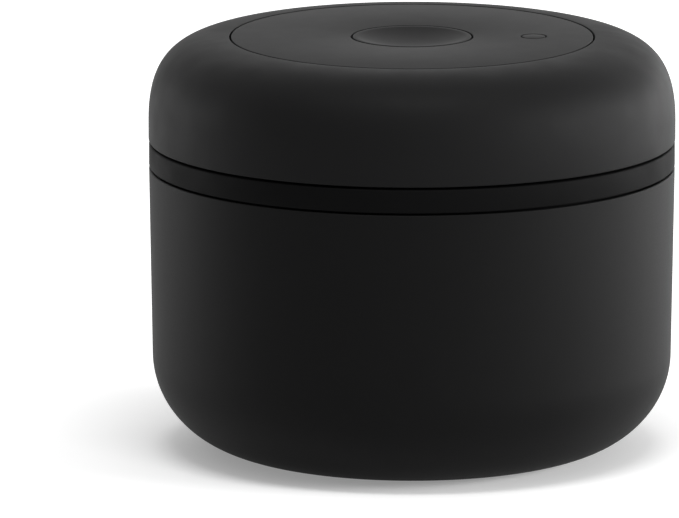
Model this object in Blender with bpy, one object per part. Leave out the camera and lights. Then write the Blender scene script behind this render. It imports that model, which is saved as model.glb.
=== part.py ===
"""Vacuum coffee canister: a drawn steel can and a twist lid that holds its own hand pump.

The lid's domed cap turns on a fixed core. Spiral slots in a ring under the cap drive two opposed
pistons, which draw the air out of the can. A dished button in the middle lets the air back in,
and a small dot beside it sinks when the can is evacuated. Metres, +Z up, base on z = 0.
"""

import math

import bmesh
import bpy
from mathutils import Matrix, Vector
from mathutils.geometry import interpolate_bezier

for old in list(bpy.data.objects):
    bpy.data.objects.remove(old)

mm = 0.001

# Driving sizes
can_radius = 58.9 * mm
can_height = 64.2 * mm
can_wall = 0.8 * mm
can_side_draft = 0.7 * mm
can_corner_height = 22.0 * mm
can_foot_radius = 34.5 * mm
seam_gap = 0.4 * mm
band_height = 5.35 * mm
cap_gap = 0.5 * mm
cap_height = 23.25 * mm
cap_overhang = 0.1 * mm
cap_side_height = 4.55 * mm
cap_wall = 2.5 * mm
shoulder_width = 18.1 * mm
disc_thickness = 1.5 * mm
disc_gap = 0.4 * mm
button_radius = 13.3 * mm
button_travel = 2.4 * mm
indicator_radius = 2.6 * mm
indicator_travel = 1.5 * mm
bore_radius = 10.5 * mm
piston_stroke = 9.0 * mm
cap_turn = math.radians(90)

# Gaps that the pieces share
fit_gap = 0.3 * mm
slide_gap = 0.35 * mm
turn_gap = 0.6 * mm
overrun = 1.0 * mm
merge_distance = 0.001 * mm

# Heights and radii that the pieces share
band_bottom = can_height + seam_gap
band_top = band_bottom + band_height
cap_bottom = band_top + cap_gap
top = cap_bottom + cap_height
cap_radius = can_radius + cap_overhang
cap_inner_radius = cap_radius - cap_wall
disc_bottom = top - disc_thickness
disc_opening = cap_radius - shoulder_width
disc_radius = disc_opening - disc_gap

# Facets round each size of piece
wide_sides = 48
middle_sides = 36
small_sides = 20
fine_sides = 10


def arc(centre, radii, start, end, steps):
    """Points of an elliptic arc, with its angles in degrees."""
    angles = [math.radians(start + (end - start) * step / steps) for step in range(steps + 1)]
    return [
        (centre[0] + radii[0] * math.cos(angle), centre[1] + radii[1] * math.sin(angle))
        for angle in angles
    ]


def shoulder(start, end, steps):
    """Points of the cap's shoulder, from its flat top at start to its upright side at end."""
    flat_handle_share = 0.7577
    side_handle_share = 0.6403
    flat_handle = (start[0] + flat_handle_share * (end[0] - start[0]), start[1])
    side_handle = (end[0], end[1] + side_handle_share * (start[1] - end[1]))
    corners = [Vector((*point, 0)) for point in (start, flat_handle, side_handle, end)]
    return [(point.x, point.y) for point in interpolate_bezier(*corners, steps + 1)]


def turned(profile, sides, tilt=None, place=(0, 0, 0)):
    """An outline of (radius, height) points spun about +Z, then tilted and moved."""
    shape = bmesh.new()
    corners = [shape.verts.new((radius, 0, height)) for radius, height in profile]
    edges = [shape.edges.new(pair) for pair in zip(corners, corners[1:])]
    if profile[0][0] > 0:
        edges.append(shape.edges.new((corners[-1], corners[0])))
    bmesh.ops.spin(
        shape,
        geom=corners + edges,
        cent=(0, 0, 0),
        axis=(0, 0, 1),
        angle=math.tau,
        steps=sides,
        use_merge=True,
    )
    bmesh.ops.remove_doubles(shape, verts=shape.verts, dist=merge_distance)
    bmesh.ops.recalc_face_normals(shape, faces=shape.faces)
    if tilt:
        bmesh.ops.transform(shape, matrix=tilt, verts=shape.verts)
    bmesh.ops.translate(shape, vec=place, verts=shape.verts)
    return shape


def rod(radius, low, high, sides=fine_sides, tilt=None, place=(0, 0, 0)):
    """A plain round bar from one height to another."""
    return turned([(0, low), (radius, low), (radius, high), (0, high)], sides, tilt, place)


def block(low, high):
    """A box between two opposite corners."""
    shape = bmesh.new()
    size = [b - a for a, b in zip(low, high)]
    middle = [(a + b) / 2 for a, b in zip(low, high)]
    bmesh.ops.create_cube(shape, size=1)
    bmesh.ops.scale(shape, vec=size, verts=shape.verts)
    bmesh.ops.translate(shape, vec=middle, verts=shape.verts)
    return shape


def prism(outline, low, high):
    """A flat outline of (x, y) points raised from one height to another."""
    shape = bmesh.new()
    face = shape.faces.new([shape.verts.new((x, y, low)) for x, y in outline])
    raised = bmesh.ops.extrude_face_region(shape, geom=[face])["geom"]
    corners = [part for part in raised if isinstance(part, bmesh.types.BMVert)]
    bmesh.ops.translate(shape, vec=(0, 0, high - low), verts=corners)
    bmesh.ops.recalc_face_normals(shape, faces=shape.faces)
    return shape


def together(shapes):
    """Several shapes that don't touch, as one mesh for a single cut."""
    joined = bmesh.new()
    for shape in shapes:
        copy = bpy.data.meshes.new("copy")
        shape.to_mesh(copy)
        joined.from_mesh(copy)
        bpy.data.meshes.remove(copy)
        shape.free()
    return joined


def axle_frame(name, point, parent=None):
    """An empty on the line that a group of pieces moves along or about."""
    empty = bpy.data.objects.new(name, None)
    bpy.context.scene.collection.objects.link(empty)
    empty["point"] = point
    if parent:
        empty.parent = parent
        empty.location = Vector(point) - Vector(parent["point"])
    else:
        empty.location = point
    return empty


def finish_of(name, colour, roughness, metallic):
    made = bpy.data.materials.new(name)
    made.use_nodes = True
    shader = made.node_tree.nodes["Principled BSDF"]
    shader.inputs["Base Color"].default_value = (*colour, 1)
    shader.inputs["Roughness"].default_value = roughness
    shader.inputs["Metallic"].default_value = metallic
    return made


# Colour, roughness and metallic value of each kind of surface
coated_steel = ((0.018, 0.018, 0.019), 0.62, 0.0)
black_plastic = ((0.022, 0.022, 0.023), 0.55, 0.0)
disc_plastic = ((0.03, 0.03, 0.031), 0.6, 0.0)
inner_plastic = ((0.06, 0.06, 0.062), 0.5, 0.0)
pale_plastic = ((0.75, 0.74, 0.7), 0.4, 0.0)
clear_silicone = ((0.55, 0.56, 0.55), 0.45, 0.0)
black_silicone = ((0.03, 0.03, 0.03), 0.7, 0.0)
bare_steel = ((0.56, 0.56, 0.57), 0.3, 1.0)
white_felt = ((0.72, 0.7, 0.66), 0.95, 0.0)


def piece(name, shape, look, frame):
    """A named piece made from a shape, with its origin at its frame."""
    mesh = bpy.data.meshes.new(name)
    shape.to_mesh(mesh)
    shape.free()
    mesh.transform(Matrix.Translation(-Vector(frame["point"])))
    mesh.shade_smooth()
    mesh.set_sharp_from_angle(angle=math.radians(35))
    mesh.materials.append(finish_of(name, *look))
    made = bpy.data.objects.new(name, mesh)
    made.parent = frame
    bpy.context.scene.collection.objects.link(made)
    return made


def work(target, shape, operation, label):
    """Joins a shape to a piece, or cuts it away."""
    mesh = bpy.data.meshes.new(f"{target.name}_{label}")
    shape.to_mesh(mesh)
    shape.free()
    tool = bpy.data.objects.new(f"{target.name}_{label}", mesh)
    tool.hide_render = True
    tool.display_type = "WIRE"
    bpy.context.scene.collection.objects.link(tool)
    step = target.modifiers.new(label, "BOOLEAN")
    step.operation = operation
    step.object = tool


def fuse(target, shape, label):
    work(target, shape, "UNION", label)


def cut(target, shape, label):
    work(target, shape, "DIFFERENCE", label)


def coil(name, radius, wire_radius, low, high, turns, centre, frame):
    """A compression spring between two seats, as one unbroken wire."""
    points_per_turn = 10
    steps = points_per_turn * turns
    rise = high - low - 2 * wire_radius
    curve = bpy.data.curves.new(name, "CURVE")
    curve.dimensions = "3D"
    curve.bevel_depth = wire_radius
    curve.bevel_resolution = 1
    curve.use_fill_caps = True
    wire = curve.splines.new("POLY")
    wire.points.add(steps)
    start = Vector((*centre, low + wire_radius)) - Vector(frame["point"])
    for step, point in enumerate(wire.points):
        angle = math.tau * step / points_per_turn
        offset = (radius * math.cos(angle), radius * math.sin(angle), rise * step / steps)
        point.co = (*(start + Vector(offset)), 1)
    curve.materials.append(finish_of(name, *bare_steel))
    made = bpy.data.objects.new(name, curve)
    made.parent = frame
    bpy.context.scene.collection.objects.link(made)


def screw(name, tip, seat, place, frame, head_up=True):
    """A pan-head screw whose head rests on a seat height and whose shank ends at tip."""
    head_end = seat + screw_head_height if head_up else seat - screw_head_height
    profile = [
        (0, tip),
        (screw_radius, tip),
        (screw_radius, seat),
        (screw_head_radius, seat),
        (screw_head_radius, head_end),
        (0, head_end),
    ]
    piece(name, turned(profile, fine_sides, place=(*place, 0)), bare_steel, frame)


# The can
can_steps = 6
can_side_radius = can_radius - can_side_draft
can_rim_round = 0.25 * mm
can_recess_height = 1.2 * mm
can_recess_slope = 2.4 * mm
can_ring_width = 5.0 * mm


def can_radius_at(height):
    """Outer radius of the can's drafted side."""
    share = (height - can_corner_height) / (can_height - can_corner_height)
    return can_side_radius + can_side_draft * share


def can_skin(offset):
    """Half the can's section, from its middle to below its rim, at a depth inside its outer face."""
    corner_radii = (can_side_radius - can_foot_radius - offset, can_corner_height - offset)
    ring_inner = can_foot_radius - can_ring_width + offset / 2
    recess_edge = ring_inner - can_recess_slope
    return [
        (0, can_recess_height + offset),
        (recess_edge, can_recess_height + offset),
        (ring_inner, offset),
        *arc((can_foot_radius, can_corner_height), corner_radii, -90, 0, can_steps),
    ]


def make_can(frame):
    rim = [
        (can_radius, can_height - can_rim_round),
        (can_radius - can_rim_round, can_height),
        (can_radius - can_wall + can_rim_round, can_height),
        (can_radius - can_wall, can_height - can_rim_round),
    ]
    profile = can_skin(0) + rim + can_skin(can_wall)[::-1]
    piece("canister_body", turned(profile, wide_sides), coated_steel, frame)


# Radial layout of the pump, from the plug's wall inwards
plug_clearance = 1.9 * mm
plug_wall = 4.0 * mm
plug_radius = can_radius - can_wall - plug_clearance
plug_inner_radius = plug_radius - plug_wall
crosshead_half_length = 4.0 * mm
crosshead_end_gap = 2.2 * mm
pin_radius = 2.4 * mm
cam_inner_web = 2.25 * mm
cam_edge_gap = 0.25 * mm
pin_outer = plug_inner_radius - crosshead_end_gap - crosshead_half_length
pin_inner = pin_outer - piston_stroke
pin_rest = (pin_outer + pin_inner) / 2
slot_half_width = pin_radius + slide_gap
cam_inner_radius = pin_inner - slot_half_width - cam_inner_web
cam_outer_radius = plug_inner_radius - cam_edge_gap

# The button, its dish, and the spring under it
button_dish_depth = 1.7 * mm
button_dish_steps = 5
button_rim_share = 0.93
button_edge = 0.2 * mm
button_height = 3.3 * mm
button_flange = 1.0 * mm
button_boss_radius = 4.0 * mm
button_boss_wall = 0.5 * mm
button_boss_length = 3.1 * mm
button_bottom = top - button_height
boss_bottom = button_bottom - button_boss_length
release_spring_radius = 7.5 * mm
release_spring_wire = 0.45 * mm
release_spring_turns = 3

# Heights of the pump, from the button downwards: the plug is as deep as the pump needs
cover_thickness = 1.6 * mm
cover_top = boss_bottom - button_travel - fit_gap
cover_bottom = cover_top - cover_thickness
cover_lift = 0.5 * mm
cam_thickness = 4.0 * mm
cam_top = cover_bottom - cover_lift
cam_bottom = cam_top - cam_thickness
cam_lift = 1.0 * mm
crosshead_top = cam_bottom - cam_lift
crosshead_rise = 0.9 * mm
cylinder_wall = 1.5 * mm
cylinder_radius = bore_radius + cylinder_wall
cylinder_height = crosshead_top - crosshead_rise - cylinder_radius
cylinder_lift = 0.6 * mm
floor_thickness = 2.0 * mm
floor_top = cylinder_height - cylinder_radius - cylinder_lift
floor_bottom = floor_top - floor_thickness

# Lengthwise layout of the pump, from the middle outwards
head_start = 10.0 * mm
head_thickness = 2.0 * mm
valve_offset = 4.8 * mm
valve_flap_radius = 3.2 * mm
valve_flap_thickness = 0.8 * mm
valve_stem_radius = 0.9 * mm
valve_bulb_radius = 1.5 * mm
valve_bulb_length = 1.0 * mm
piston_head_gap = 0.7 * mm
piston_head_length = 5.0 * mm
piston_land = 1.2 * mm
piston_head_radius = bore_radius - 2 * fit_gap
seal_groove_depth = 1.7 * mm
seal_groove_radius = piston_head_radius - seal_groove_depth
piston_rod_radius = 3.0 * mm
cylinder_end_gap = 3.0 * mm
bore_start = head_start + head_thickness
piston_face_inner = bore_start + fit_gap + valve_bulb_length + piston_head_gap
piston_face = piston_face_inner + piston_stroke / 2
cylinder_end = pin_inner - crosshead_half_length - cylinder_end_gap

# The stem that opens the release valve
stem_radius = 1.5 * mm
stem_port_radius = 3.0 * mm
poppet_radius = 5.2 * mm
poppet_thickness = 1.0 * mm
valve_seal_thickness = 1.5 * mm

# Screws
screw_radius = 1.1 * mm
screw_head_radius = 2.2 * mm
screw_head_height = 1.5 * mm
screw_hole_radius = screw_radius + fit_gap
cover_screw_depth = 8.0 * mm
foot_side_gap = 3.0 * mm
foot_reach = cylinder_radius + foot_side_gap
foot_place = (head_start + cylinder_end) / 2
foot_half_length = 3.0 * mm
foot_tip = 2.8 * mm
foot_thickness = 1.6 * mm
foot_drop_share = 0.6
foot_boss_radius = 3.0 * mm
foot_bottom = cylinder_height - foot_drop_share * cylinder_radius
foot_top = foot_bottom + foot_thickness

# Filter and its cover, under the plug's floor
filter_inner_radius = poppet_radius + turn_gap
filter_radius = 14.0 * mm
filter_thickness = 1.2 * mm
filter_cover_thickness = 1.2 * mm
filter_cover_rim = 1.6 * mm
filter_cover_radius = filter_radius + filter_cover_rim
filter_rib_width = 1.5 * mm
filter_hole_count = 8
filter_hole_radius = 1.7 * mm
filter_bottom = floor_bottom - fit_gap - filter_thickness
filter_cover_bottom = filter_bottom - fit_gap - filter_cover_thickness

# Turning seat of the cap on the base
bearing_height = 6.05 * mm
bearing_radius = cap_inner_radius - turn_gap
bearing_top = band_top + bearing_height
glide_thickness = 0.6 * mm
glide_inset = 0.3 * mm
glide_top = bearing_top + fit_gap + glide_thickness
cap_rib_thickness = 2.0 * mm
cap_rib_bottom = glide_top + fit_gap
cap_rib_top = cap_rib_bottom + cap_rib_thickness

# Main gasket, halfway up the plug's side
base_edge = 0.4 * mm
plug_round = 1.4 * mm
groove_depth = 2.2 * mm
groove_height = 5.5 * mm
groove_middle = (band_bottom + floor_bottom + plug_round) / 2
groove_top = groove_middle + groove_height / 2
groove_bottom = groove_middle - groove_height / 2
gasket_lip_gap = 0.42 * mm
gasket_lip_share = 0.45
gasket_lip_thickness_share = 0.15

# Intake duct under each pump cylinder's end
chamber_radius = 4.6 * mm
chamber_hollow_radius = 3.5 * mm
chamber_wall = 1.0 * mm
duct_inset = 1.4 * mm
duct_place = head_start - duct_inset
duct_radius = 2.1 * mm
duct_bore_radius = 1.2 * mm
chamber_start = duct_place - duct_radius - fit_gap
port_radius = 0.5 * mm
port_reach = 2.2 * mm
port_count = 3

# Towers that carry the core's cover, in the room between the two cylinders' heads
tower_radius = 3.8 * mm
tower_side_gap = 1.1 * mm
tower_end_gap = 0.7 * mm
tower_x = chamber_radius + tower_side_gap + tower_radius
tower_y = head_start - tower_end_gap - tower_radius
tower_places = [(tower_x, tower_y), (-tower_x, tower_y), (-tower_x, -tower_y), (tower_x, -tower_y)]

# Crossheads, their pins, and the guide rails beside them
crosshead_half_width = 5.0 * mm
crosshead_drop = 1.0 * mm
pin_depth = 5.5 * mm
pin_edge = 0.4 * mm
rail_thickness = 1.8 * mm
rail_height = 16.0 * mm
rail_start_gap = 3.0 * mm

# Indicator's column, piston, spring and dot
column_bore_radius = indicator_radius + fit_gap
column_wall = 1.3 * mm
column_radius = column_bore_radius + column_wall
column_floor = 1.0 * mm
column_top = cover_bottom - fit_gap
indicator_offset = cam_inner_radius - turn_gap - column_radius
indicator_stem_radius = 1.2 * mm
indicator_flange = 0.8 * mm
indicator_groove_radius = 1.5 * mm
indicator_seal_height = 1.0 * mm
indicator_spring_wire = 0.3 * mm
indicator_spring_turns = 4
indicator_spring_spare = 0.9 * mm
indicator_spring_solid = 2 * indicator_spring_wire * (indicator_spring_turns + 1)
indicator_spring_height = indicator_spring_solid + indicator_travel + indicator_spring_spare
dot_length = 4.0 * mm
dot_edge = 0.2 * mm
dot_socket_depth = 2.5 * mm

# Core's cover, top disc and the cap's ledge between them
ledge_width = 3.5 * mm
ledge_thickness = 1.7 * mm
ledge_gap = 0.8 * mm
cover_wall_outer = disc_opening - ledge_width - ledge_gap
cover_wall_thickness = 2.0 * mm
cover_flange = 1.4 * mm
hub_radius = 3.4 * mm
hub_length = 6.0 * mm
disc_edge = 0.2 * mm

# Cap's edges, and the screws that hold the slotted ring up to it
cap_edge = 0.35 * mm
cap_top_edge = 0.2 * mm
cam_boss_radius = 3.4 * mm
cam_boss_cover = 0.2 * mm
cam_screw_bite = 5.0 * mm
cam_screw_reach = (pin_rest + slot_half_width + cam_outer_radius) / 2
cam_screw_places = [
    (cam_screw_reach * math.cos(turn), cam_screw_reach * math.sin(turn))
    for turn in (0, math.pi / 2, math.pi, -math.pi / 2)
]
slot_over_turn = math.radians(1.2)


def make_lid_base(frame):
    """The fixed base of the lid: plug, visible band and the wall that the cap turns on."""
    profile = [
        (0, floor_bottom),
        (plug_radius - plug_round, floor_bottom),
        (plug_radius, floor_bottom + plug_round),
        (plug_radius, groove_bottom),
        (plug_radius - groove_depth, groove_bottom),
        (plug_radius - groove_depth, groove_top),
        (plug_radius, groove_top),
        (plug_radius, band_bottom),
        (can_radius - base_edge, band_bottom),
        (can_radius, band_bottom + base_edge),
        (can_radius, band_top - base_edge),
        (can_radius - base_edge, band_top),
        (bearing_radius, band_top),
        (bearing_radius, bearing_top),
        (plug_inner_radius, bearing_top),
        (plug_inner_radius, floor_top),
        (0, floor_top),
    ]
    base = piece("lid_base", turned(profile, wide_sides), black_plastic, frame)
    sunk = floor_top - floor_thickness / 2
    posts = [
        rod(tower_radius, sunk, cover_bottom - fit_gap, fine_sides, place=(*place, 0))
        for place in tower_places
    ]
    posts.append(rod(column_radius, sunk, column_top, small_sides, place=(indicator_offset, 0, 0)))
    foot_places = [(x, y) for x in (-foot_reach, foot_reach) for y in (-foot_place, foot_place)]
    posts += [
        rod(foot_boss_radius, sunk, foot_bottom - fit_gap, fine_sides, place=(*place, 0))
        for place in foot_places
    ]
    rail_inner = crosshead_half_width + slide_gap
    rail_start = cylinder_end + rail_start_gap
    rail_end = plug_inner_radius + plug_wall / 4
    for side in (-1, 1):
        for way in (-1, 1):
            x_ends = sorted((side * rail_inner, side * (rail_inner + rail_thickness)))
            y_ends = sorted((way * rail_start, way * rail_end))
            low = (x_ends[0], y_ends[0], sunk)
            high = (x_ends[1], y_ends[1], floor_top + rail_height)
            posts.append(block(low, high))
    fuse(base, together(posts), "posts")
    rib_inner = filter_cover_radius + fit_gap
    rib = [
        (rib_inner, filter_cover_bottom),
        (rib_inner + filter_rib_width, filter_cover_bottom),
        (rib_inner + filter_rib_width, sunk),
        (rib_inner, sunk),
    ]
    fuse(base, turned(rib, small_sides), "filter_rib")
    below = floor_bottom - overrun
    holes = [rod(stem_port_radius, below, floor_top + overrun, small_sides)]
    holes += [
        rod(duct_bore_radius, below, floor_top + overrun, place=(0, way * duct_place, 0))
        for way in (-1, 1)
    ]
    holes += [
        rod(
            screw_hole_radius,
            cover_bottom - cover_screw_depth,
            cover_bottom + overrun,
            place=(*place, 0),
        )
        for place in tower_places
    ]
    holes += [
        rod(screw_hole_radius, floor_top, foot_bottom + overrun, place=(*place, 0))
        for place in foot_places
    ]
    column_well = [
        (0, below),
        (duct_bore_radius, below),
        (duct_bore_radius, floor_top + column_floor),
        (column_bore_radius, floor_top + column_floor),
        (column_bore_radius, column_top + overrun),
        (0, column_top + overrun),
    ]
    holes.append(turned(column_well, fine_sides, place=(indicator_offset, 0, 0)))
    cut(base, together(holes), "holes")


def make_main_gasket(frame):
    """A silicone ring in the plug's groove, with one lip towards the can's wall."""
    inner = plug_radius - groove_depth + fit_gap
    lip_reach = can_radius_at(groove_bottom) - can_wall - gasket_lip_gap
    low = groove_bottom + fit_gap
    high = groove_top - fit_gap
    lip_low = low + gasket_lip_share * (high - low)
    lip_high = lip_low + gasket_lip_thickness_share * (high - low)
    profile = [
        (inner, low),
        (plug_radius, low),
        (lip_reach, lip_low),
        (lip_reach, lip_high),
        (plug_radius, lip_low),
        (plug_radius, high),
        (inner, high),
    ]
    piece("main_gasket", turned(profile, middle_sides), clear_silicone, frame)


def make_filter(frame):
    """A felt ring that keeps coffee dust out of the pump, and the slotted cover that holds it."""
    filter_profile = [
        (filter_inner_radius, filter_bottom),
        (filter_radius, filter_bottom),
        (filter_radius, filter_bottom + filter_thickness),
        (filter_inner_radius, filter_bottom + filter_thickness),
    ]
    piece("inlet_filter", turned(filter_profile, small_sides), white_felt, frame)
    cover_height = filter_cover_bottom + filter_cover_thickness
    cover_profile = [
        (filter_inner_radius, filter_cover_bottom),
        (filter_cover_radius, filter_cover_bottom),
        (filter_cover_radius, cover_height),
        (filter_inner_radius, cover_height),
    ]
    cover = piece("filter_cover", turned(cover_profile, small_sides), inner_plastic, frame)
    hole_reach = (filter_inner_radius + filter_radius) / 2
    low = filter_cover_bottom - overrun
    holes = []
    for index in range(filter_hole_count):
        turn = math.tau * (index + 0.5) / filter_hole_count
        place = (hole_reach * math.cos(turn), hole_reach * math.sin(turn), 0)
        holes.append(rod(filter_hole_radius, low, cover_height + overrun, place=place))
    cut(cover, together(holes), "air_holes")


def make_glide_ring(frame):
    profile = [
        (plug_inner_radius + glide_inset + cam_edge_gap, bearing_top + fit_gap),
        (bearing_radius - glide_inset, bearing_top + fit_gap),
        (bearing_radius - glide_inset, glide_top),
        (plug_inner_radius + glide_inset + cam_edge_gap, glide_top),
    ]
    piece("glide_ring", turned(profile, middle_sides), pale_plastic, frame)


def along(way):
    """Turns a piece made along +Z to lie along +Y or -Y, at the height of the pump cylinders."""
    return Matrix.Rotation(-way * math.pi / 2, 4, "X")


def make_valve(name, way, height, flap_side, frame):
    """A soft umbrella valve in the cylinder's end wall, with its flap on one side of that wall."""
    if flap_side == "bore":
        flap = bore_start + fit_gap
        bulb = head_start - fit_gap
        step = 1
    else:
        flap = head_start - fit_gap
        bulb = bore_start + fit_gap
        step = -1
    tip = bulb - step * valve_bulb_length
    profile = [
        (0, tip),
        (valve_stem_radius, tip),
        (valve_bulb_radius, bulb),
        (valve_stem_radius, bulb),
        (valve_stem_radius, flap),
        (valve_flap_radius, flap),
        (valve_stem_radius, flap + step * valve_flap_thickness),
        (0, flap + step * valve_flap_thickness),
    ]
    shape = turned(profile, fine_sides, along(way), (0, 0, height))
    piece(name, shape, clear_silicone, frame)


def make_cylinder(side, way, frame):
    """One pump cylinder, with its intake duct, its two valves and its foot."""
    tilt = along(way)
    at_axis = (0, 0, cylinder_height)
    intake_height = cylinder_height - valve_offset
    exhaust_height = cylinder_height + valve_offset
    barrel_profile = [
        (0, head_start),
        (cylinder_radius, head_start),
        (cylinder_radius, cylinder_end),
        (bore_radius, cylinder_end),
        (bore_radius, bore_start),
        (0, bore_start),
    ]
    barrel = turned(barrel_profile, small_sides, tilt, at_axis)
    cylinder = piece(f"pump_cylinder_{side}", barrel, inner_plastic, frame)
    bore_half_width = math.sqrt(bore_radius**2 - (cylinder_height - foot_top) ** 2)
    barrel_half_width = math.sqrt(cylinder_radius**2 - (cylinder_height - foot_bottom) ** 2)
    foot_root = (bore_half_width + barrel_half_width) / 2
    y_ends = sorted(way * (foot_place + end * foot_half_length) for end in (-1, 1))
    feet = []
    for hand in (-1, 1):
        x_ends = sorted((hand * foot_root, hand * (foot_reach + foot_tip)))
        feet.append(block((x_ends[0], y_ends[0], foot_bottom), (x_ends[1], y_ends[1], foot_top)))
    fuse(cylinder, together(feet), "feet")
    chamber_profile = [
        (0, chamber_start),
        (chamber_radius, chamber_start),
        (chamber_radius, head_start + head_thickness / 2),
        (chamber_hollow_radius, head_start + head_thickness / 2),
        (chamber_hollow_radius, chamber_start + chamber_wall),
        (0, chamber_start + chamber_wall),
    ]
    chamber = turned(chamber_profile, fine_sides, tilt, (0, 0, intake_height))
    fuse(cylinder, chamber, "chamber")
    duct_low = floor_top + fit_gap
    duct_high = intake_height - (chamber_radius + chamber_hollow_radius) / 2
    duct_at = (0, way * duct_place, 0)
    fuse(cylinder, rod(duct_radius, duct_low, duct_high, place=duct_at), "duct")
    duct_bore_top = intake_height - port_reach
    ports = [rod(duct_bore_radius, duct_low - overrun, duct_bore_top, place=duct_at)]
    for height in (intake_height, exhaust_height):
        wall_start = head_start - overrun
        wall_end = bore_start + overrun
        stem_hole = valve_stem_radius + fit_gap
        ports.append(rod(stem_hole, wall_start, wall_end, fine_sides, tilt, (0, 0, height)))
        for index in range(port_count):
            turn = math.tau * index / port_count
            place = (port_reach * math.sin(turn), 0, height + port_reach * math.cos(turn))
            ports.append(rod(port_radius, wall_start, wall_end, fine_sides // 2, tilt, place))
    ports += [
        rod(screw_hole_radius, foot_bottom - overrun, foot_top + overrun, place=(x, way * foot_place, 0))
        for x in (-foot_reach, foot_reach)
    ]
    cut(cylinder, together(ports), "ports")
    make_valve(f"intake_valve_{side}", way, intake_height, "bore", frame)
    make_valve(f"exhaust_valve_{side}", way, exhaust_height, "room", frame)
    for label, x in (("left", -foot_reach), ("right", foot_reach)):
        screw(
            f"cylinder_screw_{side}_{label}",
            floor_top + fit_gap,
            foot_top + fit_gap,
            (x, way * foot_place),
            frame,
        )


def make_piston(side, way, frame):
    """A piston, its rod and the crosshead that carries the follower pin."""
    tilt = along(way)
    at_axis = (0, 0, cylinder_height)
    head_end = piston_face + piston_head_length
    groove_start = piston_face + piston_land
    groove_end = head_end - piston_land
    rod_end = pin_rest - crosshead_half_length / 2
    profile = [
        (0, piston_face),
        (piston_head_radius, piston_face),
        (piston_head_radius, groove_start),
        (seal_groove_radius, groove_start),
        (seal_groove_radius, groove_end),
        (piston_head_radius, groove_end),
        (piston_head_radius, head_end),
        (piston_rod_radius, head_end),
        (piston_rod_radius, rod_end),
        (0, rod_end),
    ]
    piston = piece(f"piston_{side}", turned(profile, small_sides, tilt, at_axis), pale_plastic, frame)
    y_ends = sorted(way * (pin_rest + end * crosshead_half_length) for end in (-1, 1))
    crosshead_bottom = cylinder_height - piston_rod_radius - crosshead_drop
    low = (-crosshead_half_width, y_ends[0], crosshead_bottom)
    high = (crosshead_half_width, y_ends[1], crosshead_top)
    fuse(piston, block(low, high), "crosshead")
    socket_bottom = crosshead_top - pin_depth
    place = (0, way * pin_rest, 0)
    socket = rod(pin_radius + fit_gap, socket_bottom, crosshead_top + overrun, place=place)
    cut(piston, socket, "pin_socket")
    seal_profile = [
        (seal_groove_radius + fit_gap, groove_start + fit_gap),
        (bore_radius - fit_gap, groove_start + fit_gap),
        (bore_radius - fit_gap, groove_end - fit_gap),
        (seal_groove_radius + fit_gap, groove_end - fit_gap),
    ]
    seal = turned(seal_profile, small_sides, tilt, at_axis)
    piece(f"piston_seal_{side}", seal, black_silicone, frame)
    pin_top = cam_top - fit_gap
    pin_profile = [
        (0, socket_bottom + fit_gap),
        (pin_radius, socket_bottom + fit_gap),
        (pin_radius, pin_top - pin_edge),
        (pin_radius - pin_edge, pin_top),
        (0, pin_top),
    ]
    pin = turned(pin_profile, fine_sides, place=place)
    piece(f"follower_pin_{side}", pin, bare_steel, frame)


def make_core_cover(frame):
    """The plate screwed over the turning ring, whose raised wall carries the top disc."""
    wall_inner = cover_wall_outer - cover_wall_thickness
    stem_hole = stem_radius + slide_gap
    profile = [
        (stem_hole, cover_bottom - hub_length),
        (hub_radius, cover_bottom - hub_length),
        (hub_radius, cover_bottom),
        (cover_wall_outer + cover_flange, cover_bottom),
        (cover_wall_outer + cover_flange, cover_top),
        (cover_wall_outer, cover_top),
        (cover_wall_outer, disc_bottom - fit_gap),
        (wall_inner, disc_bottom - fit_gap),
        (wall_inner, cover_top),
        (stem_hole, cover_top),
    ]
    cover = piece("core_cover", turned(profile, middle_sides), inner_plastic, frame)
    low = cover_bottom - overrun
    high = cover_top + overrun
    holes = [rod(screw_hole_radius, low, high, place=(*place, 0)) for place in tower_places]
    indicator_hole = indicator_stem_radius + slide_gap
    holes.append(rod(indicator_hole, low, high, place=(indicator_offset, 0, 0)))
    cut(cover, together(holes), "holes")
    for number, place in enumerate(tower_places, 1):
        tip = cover_bottom - cover_screw_depth + fit_gap
        screw(f"cover_screw_{number}", tip, cover_top + fit_gap, place, frame)


def make_top_disc(frame):
    """The flush inlay in the middle of the lid, with its holes for the button and the dot."""
    hole = button_radius + disc_gap
    profile = [
        (hole, disc_bottom),
        (disc_radius, disc_bottom),
        (disc_radius, top - disc_edge),
        (disc_radius - disc_edge, top),
        (hole + disc_edge, top),
        (hole, top - disc_edge),
    ]
    disc = piece("top_disc", turned(profile, wide_sides), disc_plastic, frame)
    low = disc_bottom - overrun
    place = (indicator_offset, 0, 0)
    dot_hole = rod(indicator_radius + fit_gap, low, top + overrun, small_sides, place=place)
    cut(disc, dot_hole, "dot_hole")


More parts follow.
